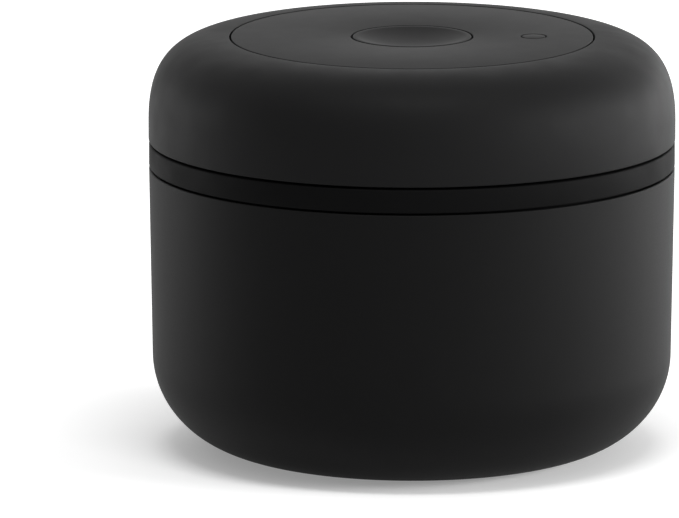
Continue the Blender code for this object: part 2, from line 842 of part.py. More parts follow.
def make_cap(frame):
    """The domed cap that the hand turns."""
    outer_steps = 8
    inner_steps = 4
    ledge_top = disc_bottom - fit_gap
    ledge_bottom = ledge_top - ledge_thickness
    rib_inner = plug_inner_radius + glide_inset + cam_edge_gap
    side_top = cap_bottom + cap_side_height
    outer = shoulder((disc_opening + cap_top_edge, top), (cap_radius, side_top), outer_steps)
    inner = shoulder((disc_opening, ledge_bottom), (cap_inner_radius, cap_rib_top), inner_steps)
    profile = [
        (disc_opening, top - cap_top_edge),
        (disc_opening, ledge_top),
        (disc_opening - ledge_width, ledge_top),
        (disc_opening - ledge_width, ledge_bottom),
        *inner,
        (rib_inner, cap_rib_top),
        (rib_inner, cap_rib_bottom),
        (cap_inner_radius, cap_rib_bottom),
        (cap_inner_radius, cap_bottom + cap_edge),
        (cap_inner_radius + cap_edge, cap_bottom),
        (cap_radius - cap_edge, cap_bottom),
        (cap_radius, cap_bottom + cap_edge),
        *outer[::-1],
    ]
    cap = piece("lid_cap", turned(profile, wide_sides), black_plastic, frame)
    boss_outer = cam_screw_reach + cam_boss_radius
    boss_top = max(height for radius, height in outer if radius > boss_outer) - cam_boss_cover
    low = cam_top + fit_gap
    hole_top = low + cam_screw_bite + fit_gap
    bosses = []
    holes = []
    for place in cam_screw_places:
        bosses.append(rod(cam_boss_radius, low, boss_top, place=(*place, 0)))
        holes.append(rod(screw_hole_radius, low - overrun, hole_top, place=(*place, 0)))
    fuse(cap, together(bosses), "bosses")
    cut(cap, together(holes), "screw_holes")


def slot_outline(middle_turn):
    """Outline of a spiral slot that a pin runs along while the cap makes its whole turn."""
    steps = 14
    end_steps = 4
    rate = piston_stroke / cap_turn
    half = cap_turn / 2 + slot_over_turn

    def centre(turn):
        reach = pin_rest + rate * turn
        at = middle_turn - turn
        return Vector((reach * math.cos(at), reach * math.sin(at)))

    def heading(turn):
        reach = pin_rest + rate * turn
        at = middle_turn - turn
        across = Vector((math.cos(at), math.sin(at)))
        round_way = Vector((math.sin(at), -math.cos(at)))
        return (rate * across + reach * round_way).normalized()

    turns = [-half + 2 * half * step / steps for step in range(steps + 1)]
    left = []
    right = []
    for turn in turns:
        forward = heading(turn)
        sideways = Vector((-forward.y, forward.x)) * slot_half_width
        left.append(centre(turn) + sideways)
        right.append(centre(turn) - sideways)

    def end_cap(turn, forward):
        sideways = Vector((-forward.y, forward.x))
        angles = [math.pi * step / end_steps for step in range(1, end_steps)]
        return [
            centre(turn) + slot_half_width * (math.cos(angle) * sideways + math.sin(angle) * forward)
            for angle in angles
        ]

    outline = left + end_cap(half, heading(half)) + right[::-1] + end_cap(-half, -heading(-half))
    return [(point.x, point.y) for point in outline]


def make_cam_ring(frame):
    """The ring under the cap whose two spiral slots move the pistons."""
    profile = [
        (cam_inner_radius, cam_bottom),
        (cam_outer_radius, cam_bottom),
        (cam_outer_radius, cam_top),
        (cam_inner_radius, cam_top),
    ]
    ring = piece("cam_ring", turned(profile, middle_sides), pale_plastic, frame)
    low = cam_bottom - overrun
    high = cam_top + overrun
    slots = [prism(slot_outline(way * math.pi / 2), low, high) for way in (-1, 1)]
    cut(ring, together(slots), "slots")
    recess_radius = screw_head_radius + fit_gap
    recess_depth = screw_head_height + 2 * fit_gap
    holes = []
    for number, place in enumerate(cam_screw_places, 1):
        hole = [
            (0, low),
            (recess_radius, low),
            (recess_radius, cam_bottom + recess_depth),
            (screw_hole_radius, cam_bottom + recess_depth),
            (screw_hole_radius, high),
            (0, high),
        ]
        holes.append(turned(hole, fine_sides, place=(*place, 0)))
        seat = cam_bottom + recess_depth - fit_gap
        tip = cam_top + fit_gap + cam_screw_bite
        screw(f"cam_screw_{number}", tip, seat, place, frame, head_up=False)
    cut(ring, together(holes), "screw_holes")


def make_button(frame, core):
    """The dished button, its stem with the release valve, and the spring under it."""
    dish_radius = button_rim_share * button_radius
    dish = []
    for step in range(button_dish_steps + 1):
        share = step / button_dish_steps
        dish.append((share * dish_radius, top - button_dish_depth * (1 - share * share)))
    flange_top = disc_bottom - fit_gap
    socket = stem_radius + fit_gap
    socket_top = button_bottom - button_boss_wall
    profile = [
        (0, socket_top),
        (socket, socket_top),
        (socket, boss_bottom),
        (button_boss_radius, boss_bottom),
        (button_boss_radius, button_bottom),
        (button_radius + button_flange, button_bottom),
        (button_radius + button_flange, flange_top),
        (button_radius, flange_top),
        (button_radius, top - button_edge),
        (button_radius - button_edge, top),
        *dish[::-1],
    ]
    piece("release_button", turned(profile, small_sides), disc_plastic, frame)
    seal_top = floor_bottom - fit_gap
    seal_bottom = seal_top - valve_seal_thickness
    poppet_top = seal_bottom - fit_gap
    poppet_bottom = poppet_top - poppet_thickness
    stem_profile = [
        (0, poppet_bottom),
        (poppet_radius, poppet_bottom),
        (poppet_radius, poppet_top),
        (stem_radius, poppet_top),
        (stem_radius, socket_top - fit_gap),
        (0, socket_top - fit_gap),
    ]
    piece("valve_stem", turned(stem_profile, fine_sides), pale_plastic, frame)
    seal_profile = [
        (stem_radius + fit_gap, seal_bottom),
        (poppet_radius, seal_bottom),
        (poppet_radius, seal_top),
        (stem_radius + fit_gap, seal_top),
    ]
    piece("valve_seal", turned(seal_profile, fine_sides), clear_silicone, frame)
    coil(
        "release_spring",
        release_spring_radius,
        release_spring_wire,
        cover_top + fit_gap,
        button_bottom - fit_gap,
        release_spring_turns,
        (0, 0),
        core,
    )


def make_indicator(frame, core):
    """The small piston that the vacuum pulls down, its spring, and the dot that shows it."""
    place = (indicator_offset, 0, 0)
    spring_low = floor_top + column_floor + fit_gap
    spring_high = spring_low + indicator_spring_height
    low = spring_high + fit_gap
    groove_low = low + indicator_flange
    groove_high = groove_low + indicator_seal_height + 2 * fit_gap
    flange_radius = column_bore_radius - fit_gap - fit_gap / 2
    dot_top = top
    dot_bottom = dot_top - dot_length
    socket_top = dot_bottom + dot_socket_depth
    profile = [
        (0, low),
        (flange_radius, low),
        (flange_radius, groove_low),
        (indicator_groove_radius, groove_low),
        (indicator_groove_radius, groove_high),
        (flange_radius, groove_high),
        (flange_radius, groove_high + indicator_flange),
        (indicator_stem_radius, groove_high + indicator_flange),
        (indicator_stem_radius, socket_top - fit_gap),
        (0, socket_top - fit_gap),
    ]
    piece("indicator_piston", turned(profile, fine_sides, place=place), pale_plastic, frame)
    seal_profile = [
        (indicator_groove_radius + fit_gap, groove_low + fit_gap),
        (column_bore_radius - fit_gap, groove_low + fit_gap),
        (column_bore_radius - fit_gap, groove_high - fit_gap),
        (indicator_groove_radius + fit_gap, groove_high - fit_gap),
    ]
    seal = turned(seal_profile, fine_sides, place=place)
    piece("indicator_seal", seal, black_silicone, frame)
    socket = indicator_stem_radius + fit_gap
    dot_profile = [
        (0, socket_top),
        (socket, socket_top),
        (socket, dot_bottom),
        (indicator_radius, dot_bottom),
        (indicator_radius, dot_top - dot_edge),
        (indicator_radius - dot_edge, dot_top),
        (0, dot_top),
    ]
    piece("indicator_dot", turned(dot_profile, small_sides, place=place), disc_plastic, frame)
    coil(
        "indicator_spring",
        column_bore_radius - 2 * fit_gap - indicator_spring_wire,
        indicator_spring_wire,
        spring_low,
        spring_high,
        indicator_spring_turns,
        place[:2],
        core,
    )


canister = axle_frame("canister", (0, 0, 0))
lid_core = axle_frame("lid_core", (0, 0, band_bottom), canister)
turning_cap = axle_frame("turning_cap", (0, 0, cap_bottom), lid_core)
button_line = axle_frame("button_line", (0, 0, top), lid_core)
indicator_line = axle_frame("indicator_line", (indicator_offset, 0, top), lid_core)

make_can(canister)
make_lid_base(lid_core)
make_main_gasket(lid_core)
make_filter(lid_core)
make_glide_ring(lid_core)
make_core_cover(lid_core)
make_top_disc(lid_core)
make_cap(turning_cap)
make_cam_ring(turning_cap)
make_button(button_line, lid_core)
make_indicator(indicator_line, lid_core)
for side, way in (("front", -1), ("rear", 1)):
    make_cylinder(side, way, lid_core)
    piston_line = axle_frame(f"piston_line_{side}", (0, way * pin_rest, cylinder_height), lid_core)
    make_piston(side, way, piston_line)
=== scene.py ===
import math

import bmesh
import bpy
from mathutils import Matrix, Vector
from mathutils.geometry import interpolate_bezier


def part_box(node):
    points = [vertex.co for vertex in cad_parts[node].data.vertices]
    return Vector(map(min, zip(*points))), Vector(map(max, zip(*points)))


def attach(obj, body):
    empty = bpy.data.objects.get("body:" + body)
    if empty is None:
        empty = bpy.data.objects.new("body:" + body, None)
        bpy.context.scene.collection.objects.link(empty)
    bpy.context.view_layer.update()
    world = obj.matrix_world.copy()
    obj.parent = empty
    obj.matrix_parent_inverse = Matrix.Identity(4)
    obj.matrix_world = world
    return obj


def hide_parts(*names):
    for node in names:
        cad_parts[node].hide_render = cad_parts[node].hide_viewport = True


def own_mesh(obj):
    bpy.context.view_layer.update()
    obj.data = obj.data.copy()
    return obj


# A vacuum coffee canister in matte black: a drawn steel can under a twist lid with its own pump.
# Metres, base on z = 0, front towards -Y. Shapes and finishes come first, then the pieces, then the stage.

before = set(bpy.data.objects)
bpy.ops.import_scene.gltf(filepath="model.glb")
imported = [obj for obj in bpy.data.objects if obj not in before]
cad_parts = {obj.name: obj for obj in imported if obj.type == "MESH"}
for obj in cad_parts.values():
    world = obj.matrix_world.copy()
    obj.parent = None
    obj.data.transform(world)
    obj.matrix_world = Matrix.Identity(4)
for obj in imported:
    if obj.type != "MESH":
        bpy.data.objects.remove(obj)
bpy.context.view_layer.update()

mm = 0.001
showSides = 192      # facets round the pieces that always show
innerSides = 96      # facets round the pieces inside the lid
littleSides = 48     # facets round screws, pins and holes
fitGap = 0.3 * mm    # air between pieces that sit together
past = 1.0 * mm      # how far a cutting shape reaches past what it cuts
roundSteps = 4       # steps round a softened corner of a profile
blockSteps = 3       # steps round a softened edge of a block
creaseAngle = math.radians(32)     # edges sharper than this stay crisp
mergeDistance = 0.001 * mm


# Places read from the frame

def nodeLow(node):
    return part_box(node)[0]


def nodeHigh(node):
    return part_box(node)[1]


def nodeMiddle(node):
    low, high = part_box(node)
    return (low + high) / 2


def nodeRadius(node):
    low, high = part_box(node)
    return (high.x - low.x) / 2


def nodeSpan(node):
    return nodeLow(node).z, nodeHigh(node).z, nodeRadius(node)


def nodeAxis(node):
    middle = nodeMiddle(node)
    return (middle.x, middle.y, 0)


def nodeEnds(node):
    # how far its near end and its far end are from the canister's axis, along Y
    return sorted((abs(nodeLow(node).y), abs(nodeHigh(node).y)))


# Shapes. A profile point is (radius, height) or (radius, height, rounding of that corner).

def arcPoints(centre, radii, start, end, steps):
    angles = [math.radians(start + (end - start) * step / steps) for step in range(steps + 1)]
    return [(centre[0] + radii[0] * math.cos(a), centre[1] + radii[1] * math.sin(a)) for a in angles]


def curvePoints(start, startHandle, endHandle, end, steps):
    corners = [Vector((*corner, 0)) for corner in (start, startHandle, endHandle, end)]
    return [(point.x, point.y) for point in interpolate_bezier(*corners, steps + 1)]


def lathe(profile, sides=innerSides, place=(0, 0, 0), tilt=None):
    # spins half a section about the upright axis, then lays it down and moves it
    shape = bmesh.new()
    corners = [shape.verts.new((point[0], 0, point[1])) for point in profile]
    for pair in zip(corners, corners[1:]):
        shape.edges.new(pair)
    if profile[0][0] > 0:
        shape.edges.new((corners[-1], corners[0]))
    for width in sorted({point[2] for point in profile if len(point) > 2}):
        soft = [corner for corner, point in zip(corners, profile) if len(point) > 2 and point[2] == width]
        bmesh.ops.bevel(
            shape, geom=soft, offset=width, segments=roundSteps, profile=0.5,
            affect="VERTICES", material=-1, clamp_overlap=True,
        )
    bmesh.ops.spin(
        shape, geom=shape.verts[:] + shape.edges[:], cent=(0, 0, 0), axis=(0, 0, 1),
        angle=math.tau, steps=sides, use_merge=True,
    )
    bmesh.ops.remove_doubles(shape, verts=shape.verts, dist=mergeDistance)
    bmesh.ops.recalc_face_normals(shape, faces=shape.faces)
    if tilt:
        bmesh.ops.transform(shape, matrix=tilt, verts=shape.verts)
    bmesh.ops.translate(shape, vec=place, verts=shape.verts)
    return shape


def turned(points, sides=littleSides, place=(0, 0, 0), tilt=None):
    # a section that runs in to the axis at both of its ends
    return lathe([(0, points[0][1]), *points, (0, points[-1][1])], sides, place, tilt)


def rod(radius, low, high, sides=littleSides, place=(0, 0, 0), tilt=None):
    return turned([(radius, low), (radius, high)], sides, place, tilt)


def rodsAt(nodes, radius, low, high):
    return [rod(radius, low, high, place=nodeAxis(node)) for node in nodes]


def plainRing(inner, outer, low, high, edge, sides=innerSides, place=(0, 0, 0), tilt=None):
    profile = [(inner, low, edge), (outer, low, edge), (outer, high, edge), (inner, high, edge)]
    return lathe(profile, sides, place, tilt)


def nodeRing(node, inner, edge, sides=innerSides):
    low, high, outer = nodeSpan(node)
    return plainRing(inner, outer, low, high, edge, sides)


def block(low, high, softness=0):
    shape = bmesh.new()
    bmesh.ops.create_cube(shape, size=1)
    bmesh.ops.scale(shape, vec=[b - a for a, b in zip(low, high)], verts=shape.verts)
    bmesh.ops.translate(shape, vec=[(a + b) / 2 for a, b in zip(low, high)], verts=shape.verts)
    if softness:
        bmesh.ops.bevel(
            shape, geom=shape.edges[:], offset=softness, segments=blockSteps, profile=0.5,
            affect="EDGES", material=-1,
        )
    return shape


def raised(outline, low, high):
    # a flat outline of (x, y) points pulled up to a height
    shape = bmesh.new()
    face = shape.faces.new([shape.verts.new((x, y, low)) for x, y in outline])
    grown = bmesh.ops.extrude_face_region(shape, geom=[face])["geom"]
    tops = [part for part in grown if isinstance(part, bmesh.types.BMVert)]
    bmesh.ops.translate(shape, vec=(0, 0, high - low), verts=tops)
    bmesh.ops.recalc_face_normals(shape, faces=shape.faces)
    return shape


def asMesh(name, shape):
    mesh = bpy.data.meshes.new(name)
    shape.to_mesh(mesh)
    shape.free()
    return mesh


def gathered(shapes):
    joined = bmesh.new()
    for shape in shapes:
        copy = asMesh("copy", shape)
        joined.from_mesh(copy)
        bpy.data.meshes.remove(copy)
    return joined


def addObject(name, data):
    made = bpy.data.objects.new(name, data)
    bpy.context.scene.collection.objects.link(made)
    return made


def workedMesh(name, shape, joins=(), cuts=()):
    # the mesh of a shape after others are joined to it, and then others are cut from it
    target = addObject(name, asMesh(name, shape))
    tools = []
    steps = [("UNION", other) for other in joins] + [("DIFFERENCE", other) for other in cuts]
    for number, (operation, other) in enumerate(steps):
        tools.append(addObject(f"{name}Tool{number}", asMesh(f"{name}Tool{number}", other)))
        step = target.modifiers.new(f"step{number}", "BOOLEAN")
        step.operation = operation
        step.object = tools[-1]
    bpy.context.view_layer.update()
    ready = target.evaluated_get(bpy.context.evaluated_depsgraph_get())
    mesh = bpy.data.meshes.new_from_object(ready)
    for made in [target, *tools]:
        bpy.data.objects.remove(made)
    return mesh


def addPiece(name, mesh, look, body, node, inside=None):
    mesh.name = name
    mesh.materials.append(finishes[look])
    if inside:
        mesh.materials.append(finishes[inside])
    mesh.shade_smooth()
    mesh.set_sharp_from_angle(angle=creaseAngle)
    piece = addObject(name, mesh)
    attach(piece, body)
    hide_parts(node)
    return piece


def addShape(name, shape, look, body, node, joins=(), cuts=(), inside=None):
    return addPiece(name, workedMesh(name, shape, joins, cuts), look, body, node, inside)


# Finishes. Colours are linear, sizes are in metres, and a pair is the range that the value wanders in.

def wired(tree, kind, inputs=None, **settings):
    # a new shader node with its settings made, and each input linked or given its value
    node = tree.nodes.new(f"ShaderNode{kind}")
    for setting, value in settings.items():
        setattr(node, setting, value)
    for socket, value in (inputs or {}).items():
        if isinstance(value, bpy.types.NodeSocket):
            tree.links.new(value, node.inputs[socket])
        else:
            node.inputs[socket].default_value = value
    return node


class Finish:
    def __init__(self, name, look):
        self.material = bpy.data.materials.new(name)
        self.material.use_nodes = True
        self.tree = self.material.node_tree
        self.shader = self.tree.nodes["Principled BSDF"]
        self.place = self.add("TexCoord").outputs["Object"]
        for socket, value in look.get("sockets", {}).items():
            self.shader.inputs[socket].default_value = value

    def add(self, kind, inputs=None, **settings):
        return wired(self.tree, kind, inputs, **settings)

    def feed(self, socket, source):
        self.tree.links.new(source, self.shader.inputs[socket])

    def noise(self, size, detail=2.0, coarseness=0.5, vector=None):
        inputs = {"Vector": vector or self.place, "Scale": 1 / size}
        inputs |= {"Detail": detail, "Roughness": coarseness}
        return self.add("TexNoise", inputs).outputs["Fac"]

    def pebbles(self, size):
        inputs = {"Vector": self.place, "Scale": 1 / size}
        return self.add("TexVoronoi", inputs, feature="SMOOTH_F1").outputs["Distance"]

    def spread(self, source, low, high, start=0.3, end=0.7):
        inputs = {"Value": source, "From Min": start, "From Max": end, "To Min": low, "To Max": high}
        return self.add("MapRange", inputs).outputs["Result"]

    def colour(self, source, dark, light):
        # sockets 6 and 7 are the two colours that a colour mix goes between, and output 2 is the mix
        inputs = {0: source, 6: (*dark, 1), 7: (*light, 1)}
        self.feed("Base Color", self.add("Mix", inputs, data_type="RGBA").outputs[2])

    def gloss(self, source, low, high):
        self.feed("Roughness", self.spread(source, low, high))

    def relief(self, source, height, strength, under=None):
        inputs = {"Strength": strength, "Distance": height, "Height": source}
        if under:
            inputs["Normal"] = under
        normal = self.add("Bump", inputs).outputs["Normal"]
        self.feed("Normal", normal)
        return normal

    def roundAxis(self):
        # (distance from the axis, height) as a vector, for rings left by spinning a sheet
        parts = self.add("SeparateXYZ", {"Vector": self.place}).outputs
        across = self.add("CombineXYZ", {"X": parts["X"], "Y": parts["Y"]}).outputs["Vector"]
        reach = self.add("VectorMath", {0: across}, operation="LENGTH").outputs["Value"]
        return self.add("CombineXYZ", {"X": reach, "Z": parts["Z"]}).outputs["Vector"]


def powderCoat(name, look):
    # a sprayed coat: a soft orange peel under a dry, even grain
    finish = Finish(name, look)
    cloud = finish.noise(look["cloudSize"], detail=3.0)
    grain = finish.noise(look["grainSize"], detail=1.0)
    finish.colour(finish.spread(cloud, 0, 1), look["dark"], look["light"])
    finish.gloss(grain, *look["roughness"])
    peel = finish.relief(finish.noise(look["peelSize"], detail=0.0), look["peelHeight"], strength=0.5)
    finish.relief(grain, look["grainHeight"], strength=0.5, under=peel)
    return finish.material


def mouldedPlastic(name, look):
    # a mould's spark-eroded skin: tight pebbles with a faint clouding of the colour
    finish = Finish(name, look)
    cloud = finish.noise(look["cloudSize"], detail=3.0)
    pebbles = finish.pebbles(look["grainSize"])
    finish.colour(finish.spread(cloud, 0, 1), look["dark"], look["light"])
    finish.gloss(cloud, *look["roughness"])
    finish.relief(finish.spread(pebbles, 0, 1, start=0.1), look["grainHeight"], look["grainStrength"])
    return finish.material


def spunSteel(name, look):
    # bare stainless sheet: fine rings from drawing and polishing, under a few cloudy smears
    finish = Finish(name, look)
    rings = finish.noise(look["ringSize"], detail=2.0, coarseness=0.65, vector=finish.roundAxis())
    cloud = finish.noise(look["cloudSize"], detail=2.0)
    finish.colour(finish.spread(cloud, 0, 1), look["dark"], look["light"])
    finish.gloss(rings, *look["roughness"])
    finish.relief(rings, look["ringHeight"], strength=0.6)
    return finish.material


def needledFelt(name, look):
    # matted fibres: a fine fuzz over soft lumps
    finish = Finish(name, look)
    lumps = finish.noise(look["lumpSize"], detail=2.0)
    fuzz = finish.noise(look["fuzzSize"], detail=5.0, coarseness=0.75)
    finish.colour(finish.spread(fuzz, 0, 1), look["dark"], look["light"])
    finish.gloss(fuzz, *look["roughness"])
    soft = finish.relief(lumps, look["lumpHeight"], strength=0.6)
    finish.relief(fuzz, look["fuzzHeight"], strength=0.8, under=soft)
    return finish.material


# Each look: its recipe, its slot in the frame, and what a user would change
looks = {
    "canCoat": (powderCoat, "coated_steel", dict(
        dark=(0.0024, 0.0024, 0.0025), light=(0.0030, 0.0030, 0.0031), roughness=(0.57, 0.63),
        cloudSize=9 * mm, grainSize=0.22 * mm, grainHeight=0.006 * mm,
        peelSize=1.1 * mm, peelHeight=0.006 * mm, sockets={"Specular IOR Level": 0.09},
    )),
    "capPlastic": (mouldedPlastic, "lid_plastic", dict(
        dark=(0.0055, 0.0055, 0.0057), light=(0.0065, 0.0065, 0.0067), roughness=(0.57, 0.63),
        cloudSize=7 * mm, grainSize=0.20 * mm, grainHeight=0.006 * mm, grainStrength=0.4,
        sockets={"Specular IOR Level": 0.1},
    )),
    # a darker copy of the cap's plastic: partly the band's own darker tone, partly painted shade where the
    # cap's lip overhangs the band
    "shadedBandPlastic": (mouldedPlastic, "lid_plastic", dict(
        dark=(0.0020, 0.0020, 0.0021), light=(0.0026, 0.0026, 0.0027), roughness=(0.60, 0.68),
        cloudSize=7 * mm, grainSize=0.20 * mm, grainHeight=0.006 * mm, grainStrength=0.4,
        sockets={"Specular IOR Level": 0.05},
    )),
    "discPlastic": (mouldedPlastic, "disc_plastic", dict(
        dark=(0.0057, 0.0057, 0.0059), light=(0.0062, 0.0062, 0.0064), roughness=(0.585, 0.605),
        cloudSize=6 * mm, grainSize=0.18 * mm, grainHeight=0.006 * mm, grainStrength=0.4,
        sockets={"Specular IOR Level": 0.1},
    )),
    "dotPlastic": (mouldedPlastic, "indicator_plastic", dict(
        dark=(0.0055, 0.0055, 0.0057), light=(0.0065, 0.0065, 0.0067), roughness=(0.57, 0.62),
        cloudSize=4 * mm, grainSize=0.16 * mm, grainHeight=0.006 * mm, grainStrength=0.4,
        sockets={"Specular IOR Level": 0.1},
    )),
    "innerPlastic": (mouldedPlastic, "inner_plastic", dict(
        dark=(0.046, 0.046, 0.048), light=(0.062, 0.062, 0.064), roughness=(0.40, 0.52),
        cloudSize=5 * mm, grainSize=0.30 * mm, grainHeight=0.010 * mm, grainStrength=0.5,
    )),
    "palePlastic": (mouldedPlastic, "pale_plastic", dict(
        dark=(0.66, 0.65, 0.61), light=(0.74, 0.73, 0.69), roughness=(0.30, 0.40),
        cloudSize=6 * mm, grainSize=0.45 * mm, grainHeight=0.006 * mm, grainStrength=0.3,
        sockets={"Subsurface Weight": 0.15, "Subsurface Scale": 0.8 * mm},
    )),
    "clearSilicone": (mouldedPlastic, "clear_silicone", dict(
        dark=(0.50, 0.51, 0.50), light=(0.60, 0.61, 0.60), roughness=(0.34, 0.48),
        cloudSize=8 * mm, grainSize=0.60 * mm, grainHeight=0.010 * mm, grainStrength=0.3,
        sockets={"Subsurface Weight": 0.5, "Subsurface Scale": 2.0 * mm},
    )),
    "blackSilicone": (mouldedPlastic, "black_silicone", dict(
        dark=(0.018, 0.018, 0.018), light=(0.028, 0.028, 0.028), roughness=(0.55, 0.70),
        cloudSize=3 * mm, grainSize=0.30 * mm, grainHeight=0.010 * mm, grainStrength=0.5,
    )),
    "bareSteel": (spunSteel, "steel", dict(
        dark=(0.50, 0.50, 0.51), light=(0.60, 0.60, 0.61), roughness=(0.28, 0.42),
        cloudSize=14 * mm, ringSize=0.5 * mm, ringHeight=0.005 * mm, sockets={"Metallic": 1.0},
    )),
    "filterFelt": (needledFelt, "felt", dict(
        dark=(0.58, 0.56, 0.51), light=(0.78, 0.76, 0.72), roughness=(0.90, 0.98),
        lumpSize=1.6 * mm, lumpHeight=0.15 * mm, fuzzSize=0.25 * mm, fuzzHeight=0.10 * mm,
    )),
}
finishes = {name: recipe(name, look) for name, (recipe, slot, look) in looks.items()}
print("finishes:", ", ".join(finishes))


# The can

can = dict(
    wall=0.8 * mm,
    sideDraft=0.7 * mm,  # how much the side widens towards the rim
    cornerHeight=22.0 * mm,  # where the round foot corner ends
    cornerSteps=32,
    footRadius=34.5 * mm,  # outer edge of the flat ring that it stands on
    ringWidth=5.0 * mm,
    recess=1.2 * mm,  # rise of the middle of the base
    recessSlope=2.4 * mm,
    recessBend=0.9 * mm,
    rimRound=0.3 * mm,
    heart=0.6,  # height, as a share of the can's, of the point that all bare steel faces
)


def canSkin(radius, depth):
    # half a section of the sheet's outer face, or of its inner face at a depth
    sideRadius = radius - can["sideDraft"]
    cornerRadii = (sideRadius - can["footRadius"] - depth, can["cornerHeight"] - depth)
    ringInner = can["footRadius"] - can["ringWidth"] + depth / 2
    return [
        (0, can["recess"] + depth),
        (ringInner - can["recessSlope"], can["recess"] + depth, can["recessBend"]),
        (ringInner, depth, can["recessBend"]),
        *arcPoints((can["footRadius"], can["cornerHeight"]), cornerRadii, -90, 0, can["cornerSteps"]),
    ]


def makeCan():
    radius, height = nodeHigh("canister_body").x, nodeHigh("canister_body").z
    rim = [(radius, height, can["rimRound"]), (radius - can["wall"], height, can["rimRound"])]
    shape = lathe(canSkin(radius, 0) + rim + canSkin(radius, can["wall"])[::-1], showSides)
    heart = Vector((0, 0, height * can["heart"]))
    for face in shape.faces:
        facesIn = (heart - face.calc_center_median()).dot(face.normal) > 0
        face.material_index = 1 if facesIn else 0
    addShape("canShell", shape, "canCoat", "canister", "canister_body", inside="bareSteel")


makeCan()
print("can made")


# The lid's fixed base: the plug, the band that shows, and the wall that the cap turns on

screwHole = 1.4 * mm
coverScrews = [f"cover_screw_{number}" for number in (1, 2, 3, 4)]
footScrews = [f"cylinder_screw_{side}_{hand}" for side in ("front", "rear") for hand in ("left", "right")]
camScrews = [f"cam_screw_{number}" for number in (1, 2, 3, 4)]
dotPlace = (nodeMiddle("indicator_dot").x, 0, 0)

lidBase = dict(
    floorBottom=50.0 * mm,
    floorTop=52.0 * mm,
    plugRadius=56.2 * mm,
    plugRound=1.6 * mm,
    grooveDepth=2.2 * mm,
    grooveBottom=55.25 * mm,
    grooveTop=60.75 * mm,
    bandBottom=64.6 * mm,
    bandTop=69.95 * mm,
    bandEdge=0.45 * mm,
    bearingRadius=55.9 * mm,
    bearingTop=76.0 * mm,
    wallInner=52.2 * mm,
    wallFoot=1.0 * mm,  # rounding between the inner wall and the floor
    ribWidth=1.5 * mm,  # of the rib round the filter
    stemHole=3.0 * mm,
    airHole=1.2 * mm,
    ductPlace=8.6 * mm,
    towerRadius=3.8 * mm,  # posts that carry the core's cover
    towerHole=8.0 * mm,
    footRadius=3.0 * mm,  # posts under the pump cylinders
    railGap=5.35 * mm,  # guide rails beside the crossheads
    railThickness=1.8 * mm,
    railHeight=16.0 * mm,
    railStart=33.0 * mm,
    columnRadius=4.2 * mm,  # the tube of the vacuum indicator
    columnBore=2.9 * mm,
    columnFloor=1.0 * mm,
    postEdge=0.3 * mm,
)
coreCover = dict(
    hubLength=6.0 * mm,
    hubRadius=3.4 * mm,
    stemHole=1.85 * mm,
    plate=1.6 * mm,
    wallOuter=36.6 * mm,
    wallInner=34.6 * mm,
    indicatorHole=1.55 * mm,
    edge=0.3 * mm,
    corner=0.6 * mm,
)
footPad = dict(
    screwTip=5.1 * mm,  # from a screw's tip up to the pad that it holds
    thickness=1.6 * mm,
    halfLength=3.0 * mm,
    tip=2.8 * mm,
    edge=0.4 * mm,
)


def makeLidBase():
    size = lidBase
    radius, ribBottom = nodeHigh("lid_base").x, nodeLow("lid_base").z
    ribInner = nodeRadius("filter_cover") + fitGap
    edge = size["postEdge"]
    ribOuter, plug = ribInner + size["ribWidth"], size["plugRadius"]
    groove = plug - size["grooveDepth"]
    bottom, floor = size["floorBottom"], size["floorTop"]
    shape = turned([
        (ribInner, bottom), (ribInner, ribBottom, edge), (ribOuter, ribBottom, edge), (ribOuter, bottom),
        (plug, bottom, size["plugRound"]), (plug, size["grooveBottom"], edge),
        (groove, size["grooveBottom"]), (groove, size["grooveTop"]),
        (plug, size["grooveTop"], edge), (plug, size["bandBottom"]),
        (radius, size["bandBottom"], size["bandEdge"]), (radius, size["bandTop"], size["bandEdge"]),
        (size["bearingRadius"], size["bandTop"]), (size["bearingRadius"], size["bearingTop"], edge),
        (size["wallInner"], size["bearingTop"], edge), (size["wallInner"], floor, size["wallFoot"]),
    ], showSides)
    sunk = (bottom + floor) / 2
    postTop = nodeLow("core_cover").z + coreCover["hubLength"] - fitGap
    footTop = nodeLow(footScrews[0]).z + footPad["screwTip"] - fitGap

    def postsAt(nodes, reach, high):
        return [turned([(reach, sunk), (reach, high, edge)], place=nodeAxis(node)) for node in nodes]

    posts = postsAt(coverScrews, size["towerRadius"], postTop)
    posts += postsAt(footScrews, size["footRadius"], footTop)
    posts += postsAt(["indicator_dot"], size["columnRadius"], postTop)
    railEnd, railTop = size["wallInner"] + size["ribWidth"], floor + size["railHeight"]
    for side in (-1, 1):
        for way in (-1, 1):
            across = sorted((side * size["railGap"], side * (size["railGap"] + size["railThickness"])))
            along = sorted((way * size["railStart"], way * railEnd))
            posts.append(block((across[0], along[0], sunk), (across[1], along[1], railTop), edge))
    below, above = bottom - past, floor + past
    holes = [rod(size["stemHole"], below, above)]
    holes += [rod(size["airHole"], below, above, place=(0, way * size["ductPlace"], 0)) for way in (-1, 1)]
    holes += rodsAt(coverScrews, screwHole, postTop + fitGap - size["towerHole"], postTop + past)
    holes += rodsAt(footScrews, screwHole, floor, footTop + past)
    wellFloor = floor + size["columnFloor"]
    holes.append(turned([
        (size["airHole"], below), (size["airHole"], wellFloor),
        (size["columnBore"], wellFloor), (size["columnBore"], postTop + past),
    ], place=dotPlace))
    # the band takes the darker plastic, whose colour holds painted shade from the cap's lip
    addShape("lidBase", shape, "shadedBandPlastic", "lid_core", "lid_base", [gathered(posts)], [gathered(holes)])


gasket = dict(lipStart=0.45, lipThickness=0.15, lipRound=0.25 * mm, edge=0.3 * mm)


